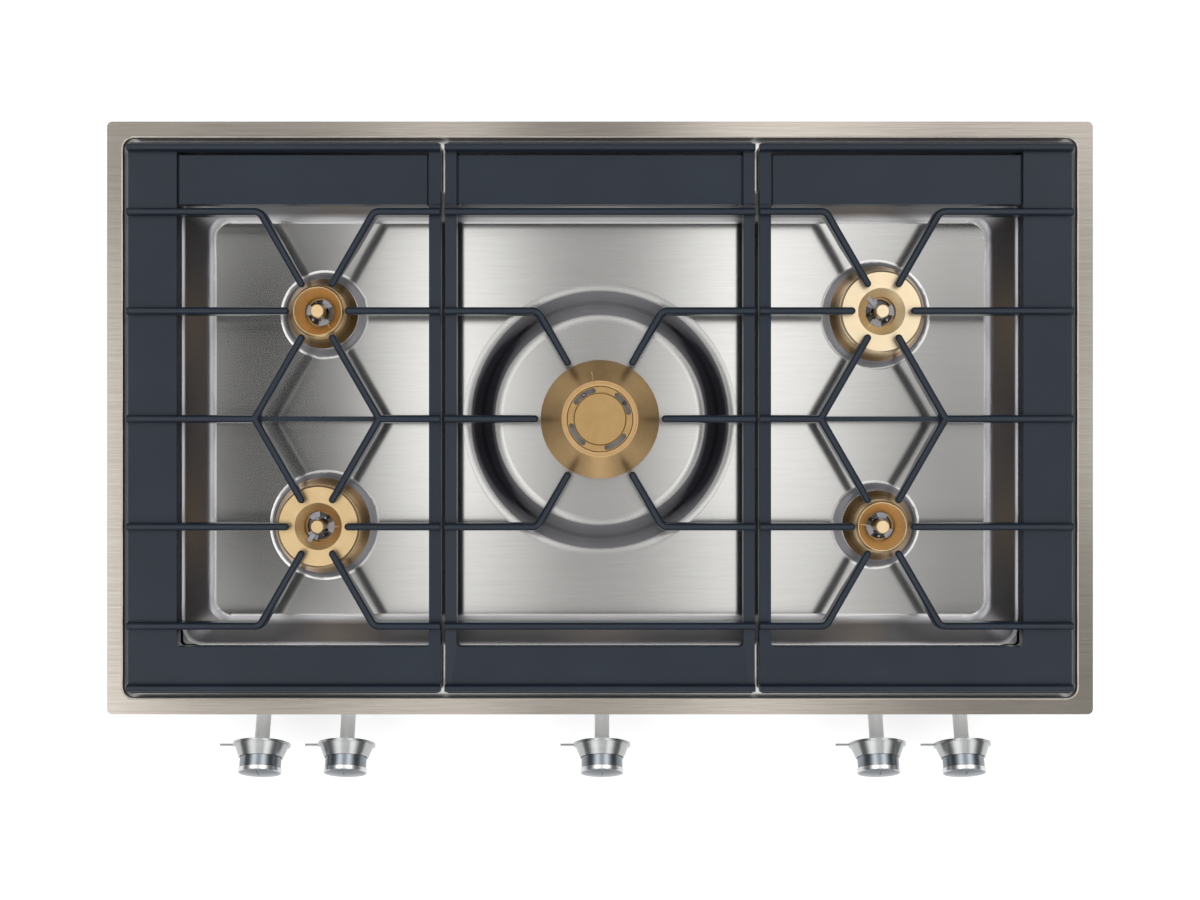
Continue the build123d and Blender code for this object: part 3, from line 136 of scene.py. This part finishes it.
def xyz(owner, link):
    """The X, Y and Z of a vector."""
    return add(owner, "SeparateXYZ", {0: link}).outputs


def ramp(owner, value, start, end, low=0.0, high=1.0, kind="LINEAR"):
    """Maps start to end onto low to high, and stays at the ends outside of them."""
    sockets = {"Value": value, 1: start, 2: end, 3: low, 4: high}
    return add(owner, "MapRange", sockets, interpolation_type=kind).outputs[0]


print("helpers: add, calc, vector, xyz, ramp")

# %% [markdown]
# ## The light
#
# Bare metal has no colour of its own to show: it shows what is around it. A photographer
# lights a steel tray with a white tent, bright overhead and dimmer towards the floor, and
# hangs dark cards and bright panels in it. The soft bands on the sheet are their mirror
# images. Lamps would do too, but a tent in the world has no edges that show by mistake. A
# card's shade is the part of the light that it takes away. A panel has a negative shade, so
# it adds light.

# %% Cards and panels
OVERHEAD = 1.9  # the tent's brightness overhead; a level card of #808080 comes out as #8B8B8B
NEAR_FLOOR = 0.18  # and near the floor
DIM, BRIGHT = 0.45, 0.85  # sines of the elevations between which it changes
# How a card ends: as a soft hill, as a patch with a flat middle, or almost sharply.
SOFT, MEDIUM, FIRM, STEEP, CRISP = 2, 3, 4, 6, 10
# On the ceiling, one metre up: the card's place across and away from the cook, its two half
# widths, how it ends across and away, and its shade.
CEILING_CARDS = [
    (-0.002, 0.050, 0.064, 0.350, MEDIUM, SOFT, 0.79),
    (-0.200, 0.022, 0.080, 0.186, MEDIUM, CRISP, 1.00),
    (0.215, -0.010, 0.095, 0.250, SOFT, FIRM, 0.80),
    (0.000, -0.088, 0.260, 0.045, FIRM, SOFT, 0.42),
    (-0.150, 0.200, 0.250, 0.045, FIRM, FIRM, 0.72),
    (-0.310, 0.190, 0.045, 0.110, SOFT, SOFT, 0.68),
    (0.310, 0.125, 0.050, 0.090, SOFT, STEEP, 0.48),
    (0.310, -0.130, 0.045, 0.095, SOFT, FIRM, 0.95),
    (0.260, -0.170, 0.120, 0.060, SOFT, SOFT, 0.72),
    (-0.080, -0.160, 0.045, 0.030, SOFT, SOFT, 0.55),
    (-0.100, -0.175, 0.250, 0.040, FIRM, FIRM, 0.30),
]
# On the walls: the card's direction, its half width as a part of the distance, its shade.
WALL_CARDS = [
    ((-1.0, 0.0, 0.85), 0.46, 0.25),
    ((1.0, 0.0, 0.85), 0.46, 0.25),
    ((0.0, -1.0, 1.00), 0.28, 0.35),
    ((0.0, 1.0, 1.00), 0.28, 0.60),
    ((-0.7, -0.7, 0.80), 0.34, -1.10),
    ((0.7, -0.7, 0.80), 0.34, -1.10),
    ((-0.7, 0.7, 0.80), 0.34, -1.10),
    ((0.7, 0.7, 0.80), 0.34, -1.10),
    ((0.0, -1.0, 0.30), 0.25, -1.50),
    ((0.0, -1.0, 0.05), 0.35, -3.00),
]
print("cards and panels in the tent:", len(CEILING_CARDS) + len(WALL_CARDS))

# %% [markdown]
# ## Hanging the cards
#
# The world's shader is given a direction. Divided by its own height, a direction upwards
# becomes a place on the flat ceiling. Each card works out how far that place is from its
# middle, in half widths, and takes its shade off with a bell curve. A higher power in the
# curve makes the middle flat and the end steeper.

# %% The tent
LOWEST = 0.05  # stands in for lower heights, so that the division doesn't run off

world = bpy.data.worlds.new("studio_tent")
bpy.context.scene.world = world
world.use_nodes = True
world.node_tree.nodes.clear()


def hang(light, spread, shade):
    """Dims the light by a card: spread is zero at its middle and one near its edge."""
    cover = calc(world, "EXPONENT", calc(world, "MULTIPLY", spread, -1.0))
    return calc(world, "MULTIPLY", light, calc(world, "MULTIPLY_ADD", cover, -shade, 1.0))


direction = vector(world, "NORMALIZE", add(world, "TexCoord").outputs["Generated"])
towards = xyz(world, direction)
height = calc(world, "MAXIMUM", towards["Z"], LOWEST)
across = calc(world, "DIVIDE", towards["X"], height)
away = calc(world, "DIVIDE", towards["Y"], height)
ceiling = add(world, "CombineXYZ", {"X": across, "Y": away}).outputs[0]

light = ramp(world, towards["Z"], DIM, BRIGHT, NEAR_FLOOR, OVERHEAD, "SMOOTHSTEP")
for card_x, card_y, half_x, half_y, end_x, end_y, shade in CEILING_CARDS:
    offset = vector(world, "SUBTRACT", ceiling, (card_x, card_y, 0.0))
    halves = vector(world, "MULTIPLY", offset, (1 / half_x, 1 / half_y, 1.0))
    reach = xyz(world, vector(world, "ABSOLUTE", halves))
    spread_x = calc(world, "POWER", reach["X"], end_x)
    spread_y = calc(world, "POWER", reach["Y"], end_y)
    light = hang(light, calc(world, "ADD", spread_x, spread_y), shade)
for card, half_width, shade in WALL_CARDS:
    apart = vector(world, "DISTANCE", direction, tuple(Vector(card).normalized()))
    spread = calc(world, "POWER", calc(world, "DIVIDE", apart, half_width), FIRM)
    light = hang(light, spread, shade)
print("nodes in the tent:", len(world.node_tree.nodes))

# %% [markdown]
# ## White behind the object
#
# The photograph has a plain white background. A brighter tent would give one too, but it
# would spoil the light on the object. The Light Path node tells what a ray is for, so rays
# from the camera see white instead. Metal and glass see that white as well below the horizon,
# past the end of the floor. Above it they keep the bands of the tent.

# %% What a ray sees
WHITE = (1.0, 1.0, 1.0, 1.0)
HORIZON = 0.0


def sight(owner):
    """Two links: is the ray the camera's, and was it mirrored or bent on its way."""
    ray = add(owner, "LightPath").outputs
    turned = calc(owner, "MAXIMUM", ray["Is Glossy Ray"], ray["Is Transmission Ray"])
    return ray["Is Camera Ray"], turned


from_camera, turned = sight(world)
below = calc(world, "LESS_THAN", towards["Z"], HORIZON)
white = calc(world, "MAXIMUM", from_camera, calc(world, "MULTIPLY", turned, below))
strength = add(world, "Mix", {0: white, 2: light, 3: 1.0}, data_type="FLOAT").outputs[0]
tent = add(world, "Background", {"Color": WHITE, "Strength": strength})
add(world, "OutputWorld", {"Surface": tent.outputs[0]})
print("world:", world.name)

# %% [markdown]
# ## Colours and materials
#
# Colours are easiest to read off a screen, where they are written in sRGB as hex codes. A
# shader counts in linear light, in which mid grey is only about a fifth of white. One
# function turns the one into the other, so that every colour below can be a hex code.


# %% Colours and materials
def linear(hex_color):
    """An sRGB hex colour as the linear colour that a shader needs."""
    channels = [int(hex_color[start:start + 2], 16) / 255 for start in (1, 3, 5)]
    powers = [c / 12.92 if c <= 0.04045 else ((c + 0.055) / 1.055) ** 2.4 for c in channels]
    return (*powers, 1.0)


def new_material(name):
    """An empty node material."""
    material = bpy.data.materials.new(name)
    material.use_nodes = True
    material.node_tree.nodes.clear()
    return material


def finish(material, shader):
    """Links a shader to the material's output."""
    add(material, "OutputMaterial", {"Surface": shader.outputs[0]})
    return material


print("mid grey #808080 is linear", round(linear("#808080")[0], 3))

# %% [markdown]
# ## The floor
#
# The cooktop lies on a white studio floor, which takes the shadow that tells where it
# stands. To the camera, and in metal and glass, the floor glows, and its glow and the light of
# the tent on it add up to white. The soft shadow stays in the part that the tent lights. To
# all other rays it is plain white paint, so it throws no extra light on the object.

# %% Floor
FLOOR_GAP = 0.5 * MM  # under the lowest point, so that no two faces lie in one plane
FLOOR_HALF = 6.0
FLOOR_GLOW = 0.62
FLOOR_LIT = (0.52, 0.52, 0.52, 1.0)
FLOOR_PAINT = "#E6E6E6"

paint = new_material("white_studio_floor")
plain = add(paint, "BsdfDiffuse", {"Color": linear(FLOOR_PAINT)})
half_lit = add(paint, "BsdfDiffuse", {"Color": FLOOR_LIT})
glow = add(paint, "Emission", {"Strength": FLOOR_GLOW})
lifted = add(paint, "AddShader", {0: half_lit.outputs[0], 1: glow.outputs[0]})
looked_at = calc(paint, "MAXIMUM", *sight(paint))
finish(paint, add(paint, "MixShader", {0: looked_at, 1: plain.outputs[0], 2: lifted.outputs[0]}))

floor_z = cad_box[0][2] - FLOOR_GAP
signs = [(-1, -1), (1, -1), (1, 1), (-1, 1)]
floor_mesh = bpy.data.meshes.new("studio_floor")
floor_mesh.from_pydata(
    [(x * FLOOR_HALF, y * FLOOR_HALF, floor_z) for x, y in signs], [], [(0, 1, 2, 3)]
)
floor_mesh.materials.append(paint)
floor = bpy.data.objects.new("studio_floor", floor_mesh)
bpy.context.scene.collection.objects.link(floor)
print("floor height in millimetres:", round(floor_z / MM, 1))

# %% [markdown]
# ## Drawing a finish
#
# No worked surface is all one colour or one gloss. Noise of the right size gives each
# finish its grain, and drives its colour, its roughness and its fine relief. A picture laid
# over the surface could do that too, but noise has no seams and needs no unwrapping.


# %% Tools for finishes
CLOUDY, STAINED, GRAINY = 2.0, 3.0, 4.0  # how much fine detail a noise has


def noise(owner, place, size, detail):
    """Cloudy noise from zero to one, with clouds of that size."""
    sockets = {"Vector": place, "Scale": 1 / size, "Detail": detail}
    return add(owner, "TexNoise", sockets).outputs["Fac"]


def mixed(owner, factor, first, second):
    """Mixes two colours by a factor, each of them a hex colour or a link."""
    low, high = [linear(c) if isinstance(c, str) else c for c in (first, second)]
    return add(owner, "Mix", {0: factor, 6: low, 7: high}, data_type="RGBA").outputs[2]


def relief(owner, height, strength, depth, **more):
    """A normal tipped by a height; more may hold the normal to start from."""
    sockets = {"Height": height, "Strength": strength, "Distance": depth, **more}
    return add(owner, "Bump", sockets).outputs[0]


def dress(material, *names):
    """Gives a finish to parts of the model."""
    for name in names:
        mesh = parts[name].data
        mesh.materials.clear()
        mesh.materials.append(material)
    print(material.name, "on", len(names), "parts")


print("helpers: noise, mixed, relief, dress")

# %% [markdown]
# ## Brushed stainless steel
#
# The tray is one sheet of stainless steel, deep-drawn and then brushed from side to side.
# Brushing leaves fine parallel scratches. They spread a reflection across themselves and
# leave it sharp along themselves, which is called anisotropy. There are far too many to cut
# into the mesh, so noise is stretched along X to draw them. The scratches of the real sheet
# are about 0.1 mm wide and 40 mm long. A pixel of the picture is about 1 mm, so they are
# drawn 1.2 mm wide here, or they would vanish.

# %% Scratches of the sheet
BRUSH_WIDTH = 1.2 * MM
BRUSH_LENGTH = 40 * MM
BRUSH_CONTRAST = 0.6
CLOUD_SIZE = 120 * MM

steel = new_material("stainless_sheet_brushed")
place = add(steel, "TexCoord").outputs["Object"]
stretch = (1 / BRUSH_LENGTH, 1 / BRUSH_WIDTH, 1 / BRUSH_WIDTH)
along_brush = add(steel, "Mapping", {"Vector": place, "Scale": stretch}).outputs[0]
scratch = add(
    steel,
    "TexNoise",
    {"Vector": along_brush, "Scale": 1.0, "Detail": STAINED, "Roughness": BRUSH_CONTRAST},
).outputs["Fac"]
cloud = noise(steel, place, CLOUD_SIZE, CLOUDY)
print("scratches for each metre across:", round(1 / BRUSH_WIDTH))

# %% [markdown]
# ## Where the sheet changes
#
# Real steel has one colour all over, and its dark walls are dark only because of what they
# mirror. The tent can't put that darkness on one wall and leave it off the next, so the
# drawn walls get darker tints here, painted shade in place of the dark that they mirror: the
# ring pressed round the centre burner most of all, and its left and right sides more than its
# near and far ones. The bosses under the other burners get the ring's painted shade too. The
# flange gets a warmer and darker tint, a painted reflection of warm light. The tilt of the
# surface tells a wall from a level part, and the height tells the flange from the rest.

# %% Tints of the sheet
WALL_SLOPE = (0.998, 0.975)  # upward part of the normal, from level sheet to wall
END_TURN = (0.05, 0.30)  # sideways part of the normal, from a long wall to an end wall
FLANGE_BAND = (FLANGE_TOP - 1.5 * MM, FLANGE_TOP - 0.5 * MM)
RING_EDGE = 140 * MM  # the ring round the centre burner ends within this radius
BOSS_EDGE = 55 * MM  # and the bosses under the other burners within this one
# Only level is the steel's own colour. The wall and ring tints are painted shade, and the flange
# tint is a painted reflection.
STEEL_TINTS = {
    "level": ("#CAC9C6", "#D7D6D3"),
    "flange": ("#A39B90", "#CAC3B9"),
    "end_wall_painted_shade": ("#8A898C", "#9C9B9E"),
    "long_wall_painted_shade": ("#9A999B", "#AEADAF"),
    "ring_end_painted_shade": ("#121114", "#1E1D21"),
    "ring_long_painted_shade": ("#5C5B5D", "#6C6B6D"),
}

burner_axes = {}
for name in BURNERS:
    low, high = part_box(f"burner_head_{name}")
    burner_axes[name] = ((low.x + high.x) / 2, (low.y + high.y) / 2, 0.0)
level_place = vector(steel, "MULTIPLY", place, (1.0, 1.0, 0.0))


def within(axis, radius):
    """One on the sheet inside a radius round an upright axis, zero outside it."""
    return calc(steel, "LESS_THAN", vector(steel, "DISTANCE", level_place, axis), radius)


normal = xyz(steel, add(steel, "NewGeometry").outputs["Normal"])
on_wall = ramp(steel, normal["Z"], *WALL_SLOPE)
on_end = ramp(steel, calc(steel, "ABSOLUTE", normal["X"]), *END_TURN)
on_flange = ramp(steel, xyz(steel, place)["Z"], *FLANGE_BAND)
tint = {name: mixed(steel, scratch, *pair) for name, pair in STEEL_TINTS.items()}
basin_painted_shade = mixed(steel, on_end, tint["long_wall_painted_shade"], tint["end_wall_painted_shade"])
ring = mixed(steel, on_end, tint["ring_long_painted_shade"], tint["ring_end_painted_shade"])
wall = mixed(steel, within(burner_axes["center"], RING_EDGE), basin_painted_shade, ring)
for name in CORNERS:
    wall = mixed(steel, within(burner_axes[name], BOSS_EDGE), wall, tint["ring_long_painted_shade"])
drawn = mixed(steel, on_wall, tint["level"], wall)
steel_color = mixed(steel, on_flange, drawn, tint["flange"])
for name, axis in burner_axes.items():
    print("axis of burner", name, "in millimetres:", [round(v / MM, 1) for v in axis[:2]])

# %% [markdown]
# ## The sheet's shader
#
# A metal is fully metallic, and its gloss lies in its roughness. The level parts are fairly
# sharp. The drawn walls are duller, because the brush runs unevenly there. The tangent tells
# the shader which way the scratches spread the light: across them.

# %% Sheet steel
LEVEL_GLOSS = (0.12, 0.16)  # roughness on the level parts, in the clearest and dullest cloud
WALL_DULLING = 0.24  # added to it on the walls
BRUSH_SPREAD = 0.7  # how much further the light spreads across the scratches
SCRATCH_DEPTH = 0.05 * MM
SCRATCH_STRENGTH = 0.05
ACROSS_BRUSH = {"X": 0.0, "Y": 1.0, "Z": 0.0}

level_rough = ramp(steel, cloud, 0.0, 1.0, *LEVEL_GLOSS)
sheet = add(
    steel,
    "BsdfPrincipled",
    {
        "Base Color": steel_color,
        "Metallic": 1.0,
        "Roughness": calc(steel, "MULTIPLY_ADD", on_wall, WALL_DULLING, level_rough),
        "Anisotropic": BRUSH_SPREAD,
        "Tangent": add(steel, "CombineXYZ", ACROSS_BRUSH).outputs[0],
        "Normal": relief(steel, scratch, SCRATCH_STRENGTH, SCRATCH_DEPTH),
    },
)
dress(finish(steel, sheet), "steel_tray")

# %% [markdown]
# ## Enamelled cast iron
#
# The pan supports are cast in iron, then coated with matt charcoal enamel. A casting has no
# sharp edges and a slightly uneven skin. Rounding the mesh would change the solid, so the
# Bevel node rounds the edges in the shading only, and a fine noise bump of about 2 mm gives
# the cast skin. Enamel is a glass, so it keeps the index of refraction of glass, with a rough
# surface.

# %% Enamel
EDGE_ROUND = 0.8 * MM
EDGE_SAMPLES = 4
CAST_GRAIN = 2.2 * MM
CAST_DEPTH = 0.08 * MM
CAST_STRENGTH = 0.35
PATCH_SIZE = 70 * MM  # enamel is fired unevenly, in patches about this wide
CHARCOAL = ("#101925", "#1A2532")
ENAMEL_GLOSS = (0.28, 0.42)
GLASS_INDEX = 1.52
MATT_SHINE = 0.30  # matt enamel shines less than clear glass

enamel = new_material("charcoal_enamel_on_cast_iron")
place = add(enamel, "TexCoord").outputs["Object"]
grain = noise(enamel, place, CAST_GRAIN, GRAINY)
patch = noise(enamel, place, PATCH_SIZE, CLOUDY)
soft_edge = add(enamel, "Bevel", {"Radius": EDGE_ROUND}, samples=EDGE_SAMPLES).outputs[0]
coat = add(
    enamel,
    "BsdfPrincipled",
    {
        "Base Color": mixed(enamel, patch, *CHARCOAL),
        "Metallic": 0.0,
        "Roughness": ramp(enamel, grain, 0.0, 1.0, *ENAMEL_GLOSS),
        "IOR": GLASS_INDEX,
        "Specular IOR Level": MATT_SHINE,
        "Normal": relief(enamel, grain, CAST_STRENGTH, CAST_DEPTH, Normal=soft_edge),
    },
)
dress(finish(enamel, coat), "pan_support_left", "pan_support_center", "pan_support_right")

# %% [markdown]
# ## Turned brass
#
# The burner pieces are turned from brass on a lathe. The tool leaves fine grooves round the
# axis, so each burner gets its own material, with the grooves drawn about its own axis. A
# plain wave would draw them all alike, so they are noise that reads only the height and the
# distance from the axis. The grooves of the real pieces are about 0.1 mm apart, which is much
# finer than a pixel, so they are drawn 0.7 mm apart here. Below a given height the brass is
# mixed towards a darker brown, so the lower skirts are darker.

# %% Lathe grooves on brass
GROOVE_PITCH = 0.7 * MM
GROOVE_DEPTH = 0.05 * MM
BRASS_GROOVES = 0.10  # how strong the grooves are on brass
BRASS_GLOSS = (0.28, 0.40)
TURNED_SPREAD = 0.2  # how much further the light spreads across the grooves
STAIN_SIZE = 9 * MM
LOWER_BROWN = "#8A6A40"


def turned_brass(name, axis, brown_below, clear_above, tints):
    """Lathe-turned brass round an upright axis, mixed towards a darker brown below a level."""
    brass = new_material(name)
    place = add(brass, "TexCoord").outputs["Object"]
    outwards = vector(brass, "MULTIPLY", vector(brass, "SUBTRACT", place, axis), (1.0, 1.0, 0.0))
    level = xyz(brass, place)["Z"]
    turning = {"X": vector(brass, "LENGTH", outwards), "Z": level}
    groove = noise(brass, add(brass, "CombineXYZ", turning).outputs[0], GROOVE_PITCH, CLOUDY)
    clean = mixed(brass, noise(brass, place, STAIN_SIZE, STAINED), *tints)
    brown_by_height = ramp(brass, level, brown_below, clear_above, 1.0, 0.0)
    metal = add(
        brass,
        "BsdfPrincipled",
        {
            "Base Color": mixed(brass, brown_by_height, clean, LOWER_BROWN),
            "Metallic": 1.0,
            "Roughness": ramp(brass, groove, 0.0, 1.0, *BRASS_GLOSS),
            "Anisotropic": TURNED_SPREAD,
            "Tangent": outwards,
            "Normal": relief(brass, groove, BRASS_GROOVES, GROOVE_DEPTH),
        },
    )
    return finish(brass, metal)


print("grooves for each centimetre of radius:", round(10 * MM / GROOVE_PITCH))

# %% [markdown]
# ## Five burners, six brasses
#
# No two burners in the photograph have the same tint. The large burner at the rear right is
# the palest, and the cap of the centre burner is the dullest. The heads, rings and pins of
# one burner share its material, because their grooves run about the same axis.

# %% Burner pieces
CORNER_LEVELS = (-12 * MM, -1 * MM)  # brown below the first height, clear above the second
CENTER_LEVELS = (-20 * MM, -12 * MM)
BRASS_TINTS = {
    "rear_left": ("#D3B587", "#E1C79B"),
    "front_left": ("#C9AC7E", "#D6BC92"),
    "rear_right": ("#E2CDA8", "#EDDBBB"),
    "front_right": ("#D8BC90", "#E6CFA8"),
    "center": ("#C09E70", "#D0AF80"),
    "cap": ("#A58658", "#B89868"),
}
for name in CORNERS:
    tints = BRASS_TINTS[name]
    brass = turned_brass(f"turned_brass_{name}", burner_axes[name], *CORNER_LEVELS, tints)
    dress(brass, f"burner_head_{name}", f"burner_ring_{name}", f"burner_pin_{name}")
for name, part in (("center", "burner_head_center"), ("cap", "burner_cap_center")):
    tints = BRASS_TINTS[name]
    brass = turned_brass(f"turned_brass_{name}", burner_axes["center"], *CENTER_LEVELS, tints)
    dress(brass, part)

# %% [markdown]
# ## Turned stainless knobs
#
# Bezels and caps are turned from stainless steel and left satin. Their axis leans up from
# level, so the grooves are drawn about that axis. The domed face is painted darker than the
# ring round it, as painted shade, and the ring is painted pale, as a painted highlight. The
# face's mark is a cut line. Face and ring are told apart by their distance from the axis and
# along it.

# %% Lathe grooves on steel
FACE_DISTANCE = 20 * MM  # the domed face is further out than this along the axis
FACE_RADIUS = 18.6 * MM
# painted shade on the domed face
FACE_PAINTED_SHADE = "#5A5F64"
RING_RADIUS = 20 * MM  # the raised ring at the front of the cap is wider than this
# painted highlight on the ring round the face
RING_PAINTED_HIGHLIGHT = "#D2D3D3"
STEEL_GROOVES = 0.15
SATIN_GLOSS = (0.20, 0.30)

joints = {joint["name"]: joint for joint in frame["joints"]}
knob_axis = tuple(Vector(joints["knob_center_turn"]["axis"]).normalized())


def turned_steel(name, origin, tints, painted_face_and_ring=False):
    """Steel turned about a knob's axis through origin, if asked with a painted shaded face and
    lit ring.
    """
    metal = new_material(name)
    place = add(metal, "TexCoord").outputs["Object"]
    offset = vector(metal, "SUBTRACT", place, origin)
    out = vector(metal, "DOT_PRODUCT", offset, knob_axis)
    along = add(metal, "VectorMath", {0: knob_axis, "Scale": out}, operation="SCALE").outputs[0]
    radius = vector(metal, "LENGTH", vector(metal, "SUBTRACT", offset, along))
    turning = add(metal, "CombineXYZ", {"X": radius, "Z": out}).outputs[0]
    groove = noise(metal, turning, GROOVE_PITCH, CLOUDY)
    color = mixed(metal, groove, *tints)
    if painted_face_and_ring:
        # paints shade on the face and a highlight on the ring
        in_front = calc(metal, "GREATER_THAN", out, FACE_DISTANCE)
        inside = calc(metal, "LESS_THAN", radius, FACE_RADIUS)
        color = mixed(metal, calc(metal, "MULTIPLY", in_front, inside), color, FACE_PAINTED_SHADE)
        color = mixed(metal, calc(metal, "GREATER_THAN", radius, RING_RADIUS), color, RING_PAINTED_HIGHLIGHT)
    satin = add(
        metal,
        "BsdfPrincipled",
        {
            "Base Color": color,
            "Metallic": 1.0,
            "Roughness": ramp(metal, groove, 0.0, 1.0, *SATIN_GLOSS),
            "Normal": relief(metal, groove, STEEL_GROOVES, GROOVE_DEPTH),
        },
    )
    return finish(metal, satin)


lean = math.degrees(math.asin(knob_axis[2]))
print("knobs lean up by", round(lean, 1), "degrees")

# %% [markdown]
# ## Bezels and caps
#
# The five bezels are one part of the model and share one material, with its grooves about
# the axis of the centre knob. Each cap moves by itself and has its own.

# %% Knob pieces
# Both are painted shade on the same stainless steel, and the caps' tints are darker than the
# bezels'.
BEZEL_SHADED_TINTS = ("#A0A1A2", "#B6B7B7")
CAP_SHADED_TINTS = ("#757B80", "#8D9398")

origins = {name: tuple(joints[f"knob_{name}_turn"]["pos_m"]) for name in BURNERS}
dress(turned_steel("stainless_turned_bezel", origins["center"], BEZEL_SHADED_TINTS), "knob_bezels")
for name, origin in origins.items():
    cap = turned_steel(f"stainless_turned_cap_{name}", origin, CAP_SHADED_TINTS, painted_face_and_ring=True)
    dress(cap, f"knob_cap_{name}")

# %% [markdown]
# ## Metals underneath
#
# Most of the remaining pieces show only from the side or from below, but each one still has
# the finish of its real material. The box and the clamps are zinc-coated sheet with pale
# cloudy crystals. Burner bases are die-cast and grainy. Pipes, manifold and spindles are
# drawn, the valves are machined brass, and the spiders and electrodes have been tinted by
# heat. One function with one grain does for all of them.


# %% Grained pieces
def grained(name, tints, grain_size, gloss, strength, depth, **uniform):
    """A material whose colour, gloss and skin vary with one grain."""
    material = new_material(name)
    grain = noise(material, add(material, "TexCoord").outputs["Object"], grain_size, GRAINY)
    sockets = {
        "Base Color": mixed(material, grain, *tints),
        "Roughness": ramp(material, grain, 0.0, 1.0, *gloss),
        "Normal": relief(material, grain, strength, depth),
        **uniform,
    }
    return finish(material, add(material, "BsdfPrincipled", sockets))


METAL_DEPTH = 0.1 * MM
# A material, its two tints, the size of its grain, its roughness, how strong the skin is, and
# the parts that it is on.
METALS = [
    ("zinc_coated_sheet", ("#9A9FA3", "#C4C8CB"), 14 * MM, (0.34, 0.50), 0.05,
     ["under_box", "hold_down_clamps"]),
    ("die_cast_alloy", ("#8F9194", "#B4B6B8"), 1.6 * MM, (0.42, 0.60), 0.30,
     [f"burner_base_{name}" for name in BURNERS]),
    ("drawn_aluminium_pipe", ("#B9BBBD", "#D6D8DA"), 6 * MM, (0.25, 0.36), 0.05,
     ["feed_pipes"]),
    ("drawn_steel", ("#8B8B8A", "#A8A8A6"), 5 * MM, (0.28, 0.42), 0.08,
     ["gas_manifold", "gas_inlet"] + [f"knob_spindle_{name}" for name in BURNERS]),
    ("heat_tinted_steel", ("#77777C", "#A3A2A8"), 2.5 * MM, (0.28, 0.44), 0.15,
     ["ignition_electrodes", "flame_sensors"] + [f"burner_spider_{name}" for name in CORNERS]),
    ("machined_brass", ("#B39556", "#CDB274"), 1.2 * MM, (0.26, 0.38), 0.10,
     ["valve_bodies", "injector_holders"] + [f"valve_plug_{name}" for name in BURNERS]),
]
for name, tints, grain_size, gloss, strength, worn_by in METALS:
    dress(grained(name, tints, grain_size, gloss, strength, METAL_DEPTH, Metallic=1.0), *worn_by)

# %% [markdown]
# ## Plastics, foam and rubber
#
# Moulded nylon and the ignition module's housing are slightly waxy, with a fine spark-eroded
# texture from the mould. Foam has open cells, and the rubber feet are dull with mould dust.
# The same function draws them, without the metal and with each one's index of refraction.

# %% Soft and moulded pieces
MOULD_DEPTH = 0.15 * MM
# The same as above, with the index of refraction before the parts.
MOULDED = [
    ("natural_nylon_moulded", ("#ECECE8", "#F6F6F3"), 1.0 * MM, (0.39, 0.51), 0.15, 1.53,
     ["spindle_tubes"]),
    ("off_white_abs_moulded", ("#D6D3C8", "#E2DFD6"), 0.8 * MM, (0.44, 0.56), 0.25, 1.54,
     ["ignition_module"]),
    ("black_foam_seal", ("#17181A", "#2A2B2E"), 0.9 * MM, (0.84, 0.96), 0.80, 1.50,
     ["worktop_seal"]),
    ("black_rubber_moulded", ("#16171A", "#232427"), 1.1 * MM, (0.69, 0.81), 0.25, 1.52,
     ["support_feet_left", "support_feet_center", "support_feet_right"]),
]
for name, tints, grain_size, gloss, strength, index, worn_by in MOULDED:
    plastic = grained(
        name, tints, grain_size, gloss, strength, MOULD_DEPTH, Metallic=0.0, IOR=index
    )
    dress(plastic, *worn_by)
